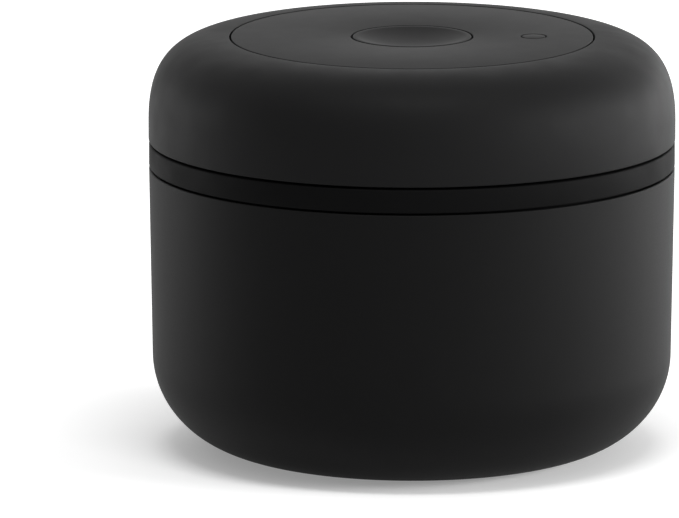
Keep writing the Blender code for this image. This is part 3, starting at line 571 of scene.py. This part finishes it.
def makeGasket():
    # a silicone ring in the plug's groove, with one lip that sweeps up to the can's wall
    low, high, reach = nodeSpan("main_gasket")
    plug, edge, lipRound = lidBase["plugRadius"], gasket["edge"], gasket["lipRound"]
    inner = plug - lidBase["grooveDepth"] + fitGap
    lipLow = low + gasket["lipStart"] * (high - low)
    lipHigh = lipLow + gasket["lipThickness"] * (high - low)
    profile = [
        (inner, low), (plug, low, edge), (reach, lipLow, lipRound), (reach, lipHigh, lipRound),
        (plug, lipLow, edge), (plug, high, edge), (inner, high),
    ]
    addShape("mainGasket", lathe(profile, showSides), "clearSilicone", "lid_core", "main_gasket")


airFilter = dict(inner=5.8 * mm, edge=0.25 * mm, holes=8, holeRadius=1.7 * mm, holeEdge=0.25 * mm)


def makeFilter():
    # the felt ring under the plug's floor, and the holed cover that holds it
    inner, edge = airFilter["inner"], airFilter["edge"]
    addShape("feltRing", nodeRing("inlet_filter", inner, edge), "filterFelt", "lid_core", "inlet_filter")
    cover = nodeRing("filter_cover", inner, edge)
    reach = (inner + nodeRadius("inlet_filter")) / 2
    low, high = nodeSpan("filter_cover")[:2]
    radius, flare = airFilter["holeRadius"], airFilter["holeEdge"]
    hole = [(radius + flare, low - past), (radius + flare, low), (radius, low + flare), (radius, high + past)]
    holes = []
    for number in range(airFilter["holes"]):
        turn = math.tau * (number + 0.5) / airFilter["holes"]
        holes.append(turned(hole, place=(reach * math.cos(turn), reach * math.sin(turn), 0)))
    addShape("filterCover", cover, "innerPlastic", "lid_core", "filter_cover", cuts=[gathered(holes)])


glideRing = dict(inner=52.75 * mm, edge=0.15 * mm)


def makeGlideRing():
    shape = nodeRing("glide_ring", glideRing["inner"], glideRing["edge"], showSides)
    addShape("glideRing", shape, "palePlastic", "lid_core", "glide_ring")


# The core's cover, the flush top disc, the button and the dot

topDisc = dict(edge=0.22 * mm, buttonGap=0.4 * mm, dotGap=0.3 * mm)
releaseButton = dict(
    radius=13.3 * mm,
    height=3.3 * mm,
    rimShare=0.93,  # radius of the dish as a share of the button's
    dishDepth=1.7 * mm,
    dishSteps=28,
    edge=0.2 * mm,
    bossRadius=4.0 * mm,
    socketRadius=1.8 * mm,
    socketRoof=0.5 * mm,
)
vacuumDot = dict(edge=0.12 * mm, socketRadius=1.5 * mm, socketDepth=2.5 * mm)


def makeCoreCover():
    size, edge = coreCover, coreCover["edge"]
    low, high, reach = nodeSpan("core_cover")
    plateLow = low + size["hubLength"]
    plateHigh = plateLow + size["plate"]
    profile = [
        (size["stemHole"], low, edge), (size["hubRadius"], low, edge),
        (size["hubRadius"], plateLow, size["corner"]), (reach, plateLow, edge), (reach, plateHigh, edge),
        (size["wallOuter"], plateHigh, size["corner"]), (size["wallOuter"], high, edge),
        (size["wallInner"], high, edge), (size["wallInner"], plateHigh, size["corner"]),
        (size["stemHole"], plateHigh, edge),
    ]
    below, above = plateLow - past, plateHigh + past
    holes = rodsAt(coverScrews, screwHole, below, above)
    holes.append(rod(size["indicatorHole"], below, above, place=dotPlace))
    addShape("coreCover", lathe(profile), "innerPlastic", "lid_core", "core_cover", cuts=[gathered(holes)])


def makeTopDisc():
    low, high, reach = nodeSpan("top_disc")
    hole = releaseButton["radius"] + topDisc["buttonGap"]
    edge = topDisc["edge"]
    plate = lathe([(hole, low), (reach, low), (reach, high, edge), (hole, high, edge)], showSides)
    radius = nodeRadius("indicator_dot") + topDisc["dotGap"]
    flare = turned([
        (radius, low - past), (radius, high - edge), (radius + edge, high), (radius + edge, high + past),
    ], innerSides, dotPlace)
    addShape("topDisc", plate, "discPlastic", "lid_core", "top_disc", cuts=[flare])


def makeReleaseButton():
    size, edge = releaseButton, releaseButton["edge"]
    low, high, flange = nodeSpan("release_button")
    underside = high - size["height"]
    flangeTop = nodeLow("top_disc").z - fitGap
    dishRadius = size["rimShare"] * size["radius"]
    dish = []
    for step in range(size["dishSteps"] + 1):
        share = step / size["dishSteps"]
        dish.append((share * dishRadius, high - size["dishDepth"] * (1 - share * share)))
    roof = underside - size["socketRoof"]
    profile = [
        (0, roof), (size["socketRadius"], roof), (size["socketRadius"], low),
        (size["bossRadius"], low, edge), (size["bossRadius"], underside),
        (flange, underside, edge), (flange, flangeTop, edge),
        (size["radius"], flangeTop), (size["radius"], high, edge), *dish[::-1],
    ]
    addShape("releaseButton", lathe(profile, showSides), "discPlastic", "release_button", "release_button")


def makeVacuumDot():
    low, high, radius = nodeSpan("indicator_dot")
    socket, roof = vacuumDot["socketRadius"], low + vacuumDot["socketDepth"]
    profile = [(socket, roof), (socket, low), (radius, low), (radius, high, vacuumDot["edge"])]
    addShape("vacuumDot", turned(profile, innerSides, dotPlace), "dotPlastic", "indicator", "indicator_dot")


# The domed cap and the slotted ring that it turns

cap = dict(
    wall=2.5 * mm,
    sideHeight=4.55 * mm,  # of the upright part below the shoulder
    flatPull=0.7577,  # how far the shoulder stays flat from its top
    sidePull=0.6403,  # how far it stays upright from its side
    shoulderSteps=56,
    discGap=0.4 * mm,
    topEdge=0.2 * mm,
    topEdgeArc=(180, 105),  # degrees that the opening's edge turns through
    topEdgeSteps=4,
    bottomEdge=0.35 * mm,
    ledgeWidth=3.5 * mm,
    ledgeThickness=1.7 * mm,
    ribInner=52.75 * mm,
    ribBottom=77.2 * mm,
    ribThickness=2.0 * mm,
    bossRadius=3.4 * mm,
    bossCover=0.35 * mm,  # skin left between a boss and the shoulder's outer face
    screwBite=5.0 * mm,
)


def shoulderPoints(start, end, steps):
    flatHandle = (start[0] + cap["flatPull"] * (end[0] - start[0]), start[1])
    sideHandle = (end[0], end[1] + cap["sidePull"] * (start[1] - end[1]))
    return curvePoints(start, flatHandle, sideHandle, end, steps)


def makeCap():
    bottom, top, radius = nodeSpan("lid_cap")
    inner = radius - cap["wall"]
    opening = nodeRadius("top_disc") + cap["discGap"]
    ledgeTop = nodeLow("top_disc").z - fitGap
    ledgeBottom = ledgeTop - cap["ledgeThickness"]
    ribTop = cap["ribBottom"] + cap["ribThickness"]
    edge = cap["topEdge"]
    sideTop, steps = bottom + cap["sideHeight"], cap["shoulderSteps"]
    outerCurve = shoulderPoints((opening + edge, top), (radius, sideTop), steps)
    innerCurve = shoulderPoints((opening, ledgeBottom), (inner, ribTop), steps // 2)
    profile = [
        *arcPoints((opening + edge, top - edge), (edge, edge), *cap["topEdgeArc"], cap["topEdgeSteps"]),
        *outerCurve,
        (radius, bottom, cap["bottomEdge"]), (inner, bottom, cap["bottomEdge"]), (inner, cap["ribBottom"]),
        (cap["ribInner"], cap["ribBottom"], edge), (cap["ribInner"], ribTop, edge),
        *innerCurve[::-1],
        (opening - cap["ledgeWidth"], ledgeBottom, edge), (opening - cap["ledgeWidth"], ledgeTop, edge),
        (opening, ledgeTop),
    ]
    low = nodeHigh("cam_ring").z + fitGap
    reach = max(nodeMiddle(screw).x for screw in camScrews) + cap["bossRadius"]
    high = max(height for across, height in outerCurve if across > reach) - cap["bossCover"]
    holeTop = low + cap["screwBite"] + fitGap
    bosses = rodsAt(camScrews, cap["bossRadius"], low, high)
    holes = rodsAt(camScrews, screwHole, low - past, holeTop)
    addShape(
        "capDome", lathe(profile, showSides), "capPlastic", "turning_cap", "lid_cap",
        [gathered(bosses)], [gathered(holes)],
    )


camRing = dict(
    inner=32.0 * mm,
    slotHalfWidth=2.75 * mm,
    slotTurn=math.radians(92.4),
    stroke=9.0 * mm,  # how far a quarter turn moves a pin
    slotSteps=40,
    endSteps=12,  # round each end of a slot
    recessRadius=2.5 * mm,
    recessDepth=2.1 * mm,
    edge=0.3 * mm,
)


def slotOutline(middleTurn):
    # the spiral path that a pin takes while the cap makes its whole turn
    size = camRing
    rest = abs(nodeMiddle("follower_pin_rear").y)
    rate = size["stroke"] / math.radians(90)

    def centre(turn):
        reach, at = rest + rate * turn, middleTurn - turn
        return Vector((reach * math.cos(at), reach * math.sin(at)))

    def heading(turn):
        reach, at = rest + rate * turn, middleTurn - turn
        outward = Vector((math.cos(at), math.sin(at)))
        onward = Vector((math.sin(at), -math.cos(at)))
        return (rate * outward + reach * onward).normalized()

    def sideways(turn):
        forward = heading(turn)
        return Vector((-forward.y, forward.x)) * size["slotHalfWidth"]

    def roundEnd(turn, way):
        forward = heading(turn) * way * size["slotHalfWidth"]
        angles = [math.pi * step / size["endSteps"] for step in range(1, size["endSteps"])]
        return [centre(turn) + math.cos(a) * way * sideways(turn) + math.sin(a) * forward for a in angles]

    half = size["slotTurn"] / 2
    turns = [-half + 2 * half * step / size["slotSteps"] for step in range(size["slotSteps"] + 1)]
    left = [centre(turn) + sideways(turn) for turn in turns]
    right = [centre(turn) - sideways(turn) for turn in turns]
    points = left + roundEnd(half, 1) + right[::-1] + roundEnd(-half, -1)
    return [(point.x, point.y) for point in points]


def makeCamRing():
    ring = nodeRing("cam_ring", camRing["inner"], camRing["edge"], showSides)
    low, high = nodeSpan("cam_ring")[:2]
    paths = [raised(slotOutline(way * math.pi / 2), low - past, high + past) for way in (-1, 1)]
    recess, floor = camRing["recessRadius"], low + camRing["recessDepth"]
    hole = [(recess, low - past), (recess, floor), (screwHole, floor), (screwHole, high + past)]
    holes = [turned(hole, place=nodeAxis(screw)) for screw in camScrews]
    cuts = [gathered(paths), gathered(holes)]
    addShape("camRing", ring, "palePlastic", "turning_cap", "cam_ring", cuts=cuts)


# The two pump cylinders, their valves and their pistons. Each lies along Y.

cylinder = dict(
    bore=10.5 * mm,
    wall=1.5 * mm,
    headStart=10.0 * mm,
    headThickness=2.0 * mm,
    valveOffset=4.8 * mm,  # of the two valves above and below the cylinder's axis
    chamberRadius=4.6 * mm,
    chamberHollow=3.5 * mm,
    chamberWall=1.0 * mm,
    ductRadius=2.1 * mm,
    ductBore=1.2 * mm,
    portRadius=0.5 * mm,
    portReach=2.2 * mm,
    ports=3,
    portSides=24,
    edge=0.3 * mm,
)
valve = dict(
    flapRadius=3.2 * mm,
    flapThickness=0.8 * mm,
    flapEdge=0.2 * mm,
    stemRadius=0.9 * mm,
    bulbRadius=1.5 * mm,
    bulbLength=1.0 * mm,
)
piston = dict(
    headLength=5.0 * mm,
    land=1.2 * mm,
    grooveDepth=1.7 * mm,
    rodRadius=3.0 * mm,
    crossheadHalfLength=4.0 * mm,
    crossheadHalfWidth=5.0 * mm,
    crossheadDrop=1.0 * mm,
    pinRadius=2.4 * mm,
    pinDepth=5.5 * mm,
    pinEdge=0.4 * mm,
    edge=0.3 * mm,
    softness=0.5 * mm,
)


def alongY(way):
    return Matrix.Rotation(-way * math.pi / 2, 4, "X")


def makeValve(name, node, way, height, flapInBore):
    headEnd = cylinder["headStart"] + cylinder["headThickness"]
    flap, bulb, step = headEnd + fitGap, cylinder["headStart"] - fitGap, 1
    if not flapInBore:
        flap, bulb, step = cylinder["headStart"] - fitGap, headEnd + fitGap, -1
    tip, back = bulb - step * valve["bulbLength"], flap + step * valve["flapThickness"]
    stem, edge = valve["stemRadius"], valve["flapEdge"]
    shape = turned([
        (stem, tip, edge), (valve["bulbRadius"], bulb, edge), (stem, bulb),
        (stem, flap), (valve["flapRadius"], flap, edge), (stem, back),
    ], littleSides, (0, 0, height), alongY(way))
    addShape(name, shape, "clearSilicone", "lid_core", node)


def makeCylinder(side, way):
    size, edge, node = cylinder, cylinder["edge"], f"pump_cylinder_{side}"
    tilt = alongY(way)
    bore, headStart = size["bore"], size["headStart"]
    outer, headEnd = bore + size["wall"], headStart + size["headThickness"]
    height = nodeHigh(node).z - outer
    chamberStart, end = nodeEnds(node)
    barrel = turned([
        (outer, headStart, size["wall"] / 2), (outer, end, edge), (bore, end, edge), (bore, headEnd),
    ], innerSides, (0, 0, height), tilt)
    footLow = nodeLow(footScrews[0]).z + footPad["screwTip"]
    footHigh = footLow + footPad["thickness"]
    boreHalf = math.sqrt(bore**2 - (height - footHigh) ** 2)
    barrelHalf = math.sqrt(outer**2 - (height - footLow) ** 2)
    root = (boreHalf + barrelHalf) / 2
    feet, holes = [], []
    for hand in ("left", "right"):
        middle = nodeMiddle(f"cylinder_screw_{side}_{hand}")
        out = math.copysign(1, middle.x)
        across = sorted((out * root, middle.x + out * footPad["tip"]))
        along = (middle.y - footPad["halfLength"], middle.y + footPad["halfLength"])
        feet.append(block((across[0], along[0], footLow), (across[1], along[1], footHigh), footPad["edge"]))
        holes.append(rod(screwHole, footLow - past, footHigh + past, place=(middle.x, middle.y, 0)))
    intake, exhaust = height - size["valveOffset"], height + size["valveOffset"]
    wallMiddle, hollowStart = headStart + size["headThickness"] / 2, chamberStart + size["chamberWall"]
    chamber = turned([
        (size["chamberRadius"], chamberStart, edge), (size["chamberRadius"], wallMiddle),
        (size["chamberHollow"], wallMiddle), (size["chamberHollow"], hollowStart),
    ], littleSides, (0, 0, intake), tilt)
    ductPlace = (0, way * lidBase["ductPlace"], 0)
    ductLow = lidBase["floorTop"] + fitGap
    ductHigh = intake - (size["chamberRadius"] + size["chamberHollow"]) / 2
    duct = rod(size["ductRadius"], ductLow, ductHigh, place=ductPlace)
    holes.append(rod(size["ductBore"], ductLow - past, intake - size["portReach"], place=ductPlace))
    near, far = headStart - past, headEnd + past
    for level in (intake, exhaust):
        holes.append(rod(valve["stemRadius"] + fitGap, near, far, littleSides, (0, 0, level), tilt))
        for number in range(size["ports"]):
            turn = math.tau * number / size["ports"]
            place = (size["portReach"] * math.sin(turn), 0, level + size["portReach"] * math.cos(turn))
            holes.append(rod(size["portRadius"], near, far, size["portSides"], place, tilt))
    addShape(
        f"pumpCylinder{side.title()}", barrel, "innerPlastic", "lid_core", node,
        [gathered(feet), chamber, duct], [gathered(holes)],
    )
    makeValve(f"intakeValve{side.title()}", f"intake_valve_{side}", way, intake, True)
    makeValve(f"exhaustValve{side.title()}", f"exhaust_valve_{side}", way, exhaust, False)


def makePiston(side, way):
    size, edge, node = piston, piston["edge"], f"piston_{side}"
    tilt, body = alongY(way), f"{side}_piston"
    crossTop = nodeHigh(node).z
    height = nodeMiddle(f"piston_seal_{side}").z
    faceAt = nodeEnds(node)[0]
    headEnd = faceAt + size["headLength"]
    headRadius = cylinder["bore"] - 2 * fitGap
    grooveRadius = headRadius - size["grooveDepth"]
    grooveStart, grooveEnd = faceAt + size["land"], headEnd - size["land"]
    pinPlace = nodeMiddle(f"follower_pin_{side}")
    rest = abs(pinPlace.y)
    shape = turned([
        (headRadius, faceAt, edge), (headRadius, grooveStart), (grooveRadius, grooveStart),
        (grooveRadius, grooveEnd), (headRadius, grooveEnd), (headRadius, headEnd, edge),
        (size["rodRadius"], headEnd, size["softness"]), (size["rodRadius"], rest),
    ], innerSides, (0, 0, height), tilt)
    halfLength, halfWidth = size["crossheadHalfLength"], size["crossheadHalfWidth"]
    crosshead = block(
        (-halfWidth, pinPlace.y - halfLength, height - size["rodRadius"] - size["crossheadDrop"]),
        (halfWidth, pinPlace.y + halfLength, crossTop), size["softness"],
    )
    socketBottom = crossTop - size["pinDepth"]
    socket = rod(size["pinRadius"] + fitGap, socketBottom, crossTop + past, place=(0, pinPlace.y, 0))
    addShape(f"piston{side.title()}", shape, "palePlastic", body, node, [crosshead], [socket])
    seal = plainRing(
        grooveRadius + fitGap, cylinder["bore"] - fitGap, grooveStart + fitGap, grooveEnd - fitGap, edge,
        innerSides, (0, 0, height), tilt,
    )
    addShape(f"pistonSeal{side.title()}", seal, "blackSilicone", body, f"piston_seal_{side}")
    pinTop = nodeHigh(f"follower_pin_{side}").z
    pin = turned([
        (size["pinRadius"], socketBottom + fitGap, edge), (size["pinRadius"], pinTop, size["pinEdge"]),
    ], place=(0, pinPlace.y, 0))
    addShape(f"followerPin{side.title()}", pin, "bareSteel", body, f"follower_pin_{side}")


# The release valve under the button, the vacuum indicator, and their springs

releaseValve = dict(stemRadius=1.5 * mm, poppetThickness=1.0 * mm, edge=0.2 * mm, foot=0.5 * mm)
indicator = dict(
    flange=0.8 * mm,
    grooveRadius=1.5 * mm,
    sealHeight=1.0 * mm,
    stemRadius=1.2 * mm,
    edge=0.1 * mm,
)
springs = {
    "release": dict(
        node="release_spring", joint="button_press", over="release_button",
        radius=7.5 * mm, wire=0.45 * mm, turns=3, travel=2.4 * mm,
    ),
    "indicator": dict(
        node="indicator_spring", joint="indicator_sink", over="indicator_dot",
        radius=2.0 * mm, wire=0.3 * mm, turns=4, travel=1.5 * mm,
    ),
}
springPoints = 40     # points along each turn of wire
wireSides = 16


def makeReleaseValve():
    size = releaseValve
    edge = size["edge"]
    low, high, reach = nodeSpan("valve_stem")
    poppetTop = low + size["poppetThickness"]
    stem = turned([
        (reach, low, edge), (reach, poppetTop, edge),
        (size["stemRadius"], poppetTop, size["foot"]), (size["stemRadius"], high, edge),
    ], innerSides)
    addShape("valveStem", stem, "palePlastic", "release_button", "valve_stem")
    low, high = nodeSpan("valve_seal")[:2]
    seal = plainRing(size["stemRadius"] + fitGap, reach, low, high, edge)
    addShape("valveSeal", seal, "clearSilicone", "release_button", "valve_seal")


def makeIndicator():
    size, edge, groove = indicator, indicator["edge"], indicator["grooveRadius"]
    low, high, reach = nodeSpan("indicator_piston")
    grooveLow = low + size["flange"]
    grooveHigh = grooveLow + size["sealHeight"] + 2 * fitGap
    flangeTop = grooveHigh + size["flange"]
    stem = turned([
        (reach, low, edge), (reach, grooveLow), (groove, grooveLow),
        (groove, grooveHigh), (reach, grooveHigh), (reach, flangeTop, edge),
        (size["stemRadius"], flangeTop), (size["stemRadius"], high, edge),
    ], place=dotPlace)
    addShape("indicatorPiston", stem, "palePlastic", "indicator", "indicator_piston")
    low, high = nodeSpan("indicator_seal")[:2]
    seal = plainRing(
        groove + fitGap, lidBase["columnBore"] - fitGap, low, high, edge, littleSides, dotPlace,
    )
    addShape("indicatorSeal", seal, "blackSilicone", "indicator", "indicator_seal")


def makeSpring(name, spring):
    # a round of wire carried up a helix
    low, high = nodeSpan(spring["node"])[:2]
    place = (nodeMiddle(spring["over"]).x, 0, 0)
    shape = bmesh.new()
    wire = bmesh.ops.create_circle(shape, segments=wireSides, radius=spring["wire"], cap_ends=True)["verts"]
    bmesh.ops.rotate(shape, verts=wire, cent=(0, 0, 0), matrix=Matrix.Rotation(math.pi / 2, 3, "X"))
    bmesh.ops.translate(shape, vec=(spring["radius"], 0, low + spring["wire"]), verts=wire)
    steps = springPoints * spring["turns"]
    rise = high - low - 2 * spring["wire"]
    bmesh.ops.spin(
        shape, geom=shape.verts[:] + shape.edges[:] + shape.faces[:], cent=(0, 0, 0), axis=(0, 0, 1),
        dvec=(0, 0, rise / steps), angle=math.tau * spring["turns"], steps=steps,
    )
    bmesh.ops.translate(shape, vec=place, verts=shape.verts)
    bmesh.ops.recalc_face_normals(shape, faces=shape.faces)
    piece = addShape(name, shape, "bareSteel", "lid_core", spring["node"])
    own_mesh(piece)


# Pan-head screws with a cross recess

screwSize = dict(
    shank=1.1 * mm,
    headHeight=1.5 * mm,
    crown=0.45 * mm,
    tip=0.6 * mm,
    crossReach=1.25 * mm,
    crossHalfWidth=0.28 * mm,
    crossDepth=0.8 * mm,
    crossTaper=(0.55, 0.8, 1),  # of the cross at its bottom, along and across an arm
)


def makeScrew(name, node, body, headUp=True):
    size = screwSize
    low, high, reach = nodeSpan(node)
    middle = nodeMiddle(node)
    length = high - low
    seat = length - size["headHeight"]
    shape = turned([
        (size["shank"], 0, size["tip"]), (size["shank"], seat), (reach, seat), (reach, length, size["crown"]),
    ])
    floor = length - size["crossDepth"]
    arms = []
    for turn in (0, math.pi / 2):
        arm = block(
            (-size["crossReach"], -size["crossHalfWidth"], floor),
            (size["crossReach"], size["crossHalfWidth"], length + past),
        )
        bottom = [vert for vert in arm.verts if vert.co.z < length]
        bmesh.ops.scale(arm, vec=size["crossTaper"], verts=bottom)
        bmesh.ops.rotate(arm, verts=arm.verts, cent=(0, 0, 0), matrix=Matrix.Rotation(turn, 3, "Z"))
        arms.append(arm)
    mesh = workedMesh(name, shape, cuts=arms)
    way = Matrix.Identity(4)
    if not headUp:
        way = Matrix.Rotation(math.pi, 4, "X") @ Matrix.Translation((0, 0, -length))
    mesh.transform(Matrix.Translation((middle.x, middle.y, low)) @ way)
    addPiece(name, mesh, "bareSteel", body, node)


makeLidBase()
makeGasket()
makeFilter()
makeGlideRing()
print("lid base, gasket, filter and glide ring made")
makeCoreCover()
makeTopDisc()
makeReleaseButton()
makeVacuumDot()
print("core cover, top disc, button and dot made")
makeCap()
makeCamRing()
print("cap and cam ring made")
for side, way in (("front", -1), ("rear", 1)):
    makeCylinder(side, way)
    makePiston(side, way)
print("pump cylinders, valves and pistons made")
makeReleaseValve()
makeIndicator()
for name, spring in springs.items():
    makeSpring(f"{name}Spring", spring)
print("release valve, indicator and springs made")
for number, node in enumerate(coverScrews, 1):
    makeScrew(f"coverScrew{number}", node, "lid_core")
for number, node in enumerate(footScrews, 1):
    makeScrew(f"cylinderScrew{number}", node, "lid_core")
for number, node in enumerate(camScrews, 1):
    makeScrew(f"camScrew{number}", node, "turning_cap", headUp=False)
print("screws made")


# Floor, light and camera

stage = dict(
    floorSize=40.0,
    floorDrop=0.02 * mm,  # a hair under the can's flat ring, so that the two never fight for a pixel
    floorColour=(0.80, 0.80, 0.80),
    paintedShadowGlow=(0.26, 0.66),  # the floor's glow in the picture, which paints the canister's contact shadow: its level right at the canister's foot, and how much more with open sky
    paintedShadowSteepness=1.6,  # how steeply the glow falls, deepening the painted shadow, as the canister takes the sky
    paintedShadowReach=170.0 * mm,  # how far from the floor the canister takes sky, which is how far the painted shadow reaches
    paintedShadowRays=16,
    worldColour=(1.0, 1.0, 1.0),
    lampReach=1.6,  # from the canister to each lamp
    aimHeight=50.0 * mm,
)
# Soft boxes: degrees round from straight behind, by way of the right, degrees up, metres and watts
lamps = {
    "rightStrip": dict(around=60, up=2, size=(0.4, 0.08), watts=9.6),
    "leftStrip": dict(around=300, up=2, size=(0.4, 0.08), watts=4.3),
    "rearStrip": dict(around=30, up=2, size=(0.4, 0.08), watts=1.8),
    "rearRight": dict(around=30, up=14, size=(0.8, 0.5), watts=1.6),
    "rear": dict(around=0, up=14, size=(0.8, 0.5), watts=0.5),
    "right": dict(around=105, up=14, size=(0.8, 0.5), watts=23.5),
    "highFront": dict(around=180, up=68, size=(0.9, 0.25), watts=10.5),
}


def pictureShare(tree):
    # 1 for a ray from the camera, a reflection or a clear piece, and 0 for one that lights something
    path = wired(tree, "LightPath").outputs
    seen = wired(tree, "Math", {0: path["Is Camera Ray"], 1: path["Is Glossy Ray"]}, operation="ADD")
    inputs = {0: seen.outputs[0], 1: path["Is Transmission Ray"]}
    return wired(tree, "Math", inputs, operation="ADD", use_clamp=True).outputs[0]


def makeFloor():
    shape = bmesh.new()
    bmesh.ops.create_grid(shape, x_segments=1, y_segments=1, size=stage["floorSize"] / 2)
    bmesh.ops.translate(shape, verts=shape.verts[:], vec=(0, 0, -stage["floorDrop"]))
    floor = addObject("floor", asMesh("floor", shape))
    material = bpy.data.materials.new("paleFloorWithPaintedShadow")
    material.use_nodes = True
    tree = material.node_tree
    tree.nodes.clear()

    def output(kind, inputs=None, socket=0, **settings):
        return wired(tree, kind, inputs, **settings).outputs[socket]

    glowInPaintedShadow, glowPastPaintedShadow = stage["paintedShadowGlow"]
    matte = output("BsdfDiffuse", {"Color": (*stage["floorColour"], 1)})
    # painted shadow: ambient occlusion dims the floor's glow near the canister's foot, so its contact shadow
    # is painted into the glow, and reflections of the floor show it too
    paintedShadowMask = output("AmbientOcclusion", {"Distance": stage["paintedShadowReach"]}, "AO", samples=stage["paintedShadowRays"])
    paintedShadowCurve = output("Math", {0: paintedShadowMask, 1: stage["paintedShadowSteepness"]}, operation="POWER")
    glowWithPaintedShadow = output("Math", {0: paintedShadowCurve, 1: glowPastPaintedShadow, 2: glowInPaintedShadow}, operation="MULTIPLY_ADD")
    seen = output("Math", {0: glowWithPaintedShadow, 1: pictureShare(tree)}, operation="MULTIPLY")
    paintedShadowGlow = output("Emission", {"Strength": seen})
    lit = output("AddShader", {0: matte, 1: paintedShadowGlow})
    # from below the floor is clear, so that the foot can be looked at
    side = output("NewGeometry", socket="Backfacing")
    clear = output("BsdfTransparent")
    oneWay = output("MixShader", {0: side, 1: lit, 2: clear})
    wired(tree, "OutputMaterial", {"Surface": oneWay})
    floor.data.materials.append(material)


def makeWorld():
    world = bpy.data.worlds.new("studio")
    world.use_nodes = True
    background = world.node_tree.nodes["Background"]
    background.inputs["Color"].default_value = (*stage["worldColour"], 1)
    world.node_tree.links.new(pictureShare(world.node_tree), background.inputs["Strength"])
    bpy.context.scene.world = world


def makeLamp(name, lamp):
    around, up = math.radians(lamp["around"]), math.radians(lamp["up"])
    aim = Vector((0, 0, stage["aimHeight"]))
    outward = Vector((math.sin(around) * math.cos(up), math.cos(around) * math.cos(up), math.sin(up)))
    light = bpy.data.lights.new(name, "AREA")
    light.shape = "RECTANGLE"
    light.size, light.size_y = lamp["size"]
    light.energy = lamp["watts"]
    made = addObject(name, light)
    made.location = aim + stage["lampReach"] * outward
    made.rotation_euler = (-outward).to_track_quat("-Z", "Y").to_euler()
    made.visible_camera = False


view = dict(
    imageSize=(679, 518),
    axisPixel=(413.2, 227.2),  # where the aimed point of the canister's axis lands
    aimHeight=50.15 * mm,
    distance=2.95,
    elevation=math.radians(11.07),
    capPixels=263.1,  # half the cap's width in the picture
    sensor=36,  # millimetres across
    farthest=100,  # metres that it sees
)


def makeCamera():
    width, height = view["imageSize"]
    focal = view["capPixels"] / nodeRadius("lid_cap") * view["distance"]
    data = bpy.data.cameras.new("camera")
    data.sensor_width = view["sensor"]
    data.lens = focal / width * data.sensor_width
    data.clip_end = view["farthest"]
    pan = math.atan((view["axisPixel"][0] - width / 2) / focal)
    tilt = math.atan((height / 2 - view["axisPixel"][1]) / focal)
    camera = addObject("camera", data)
    camera.rotation_euler = (math.pi / 2 - view["elevation"] - tilt, 0, pan)
    back = Vector((0, -math.cos(view["elevation"]), math.sin(view["elevation"])))
    camera.location = Vector((0, 0, view["aimHeight"])) + view["distance"] * back
    bpy.context.scene.camera = camera


makeFloor()
makeWorld()
for name, lamp in lamps.items():
    makeLamp(name, lamp)
makeCamera()
bpy.context.scene.view_settings.view_transform = "Standard"
print("floor, light and camera ready")
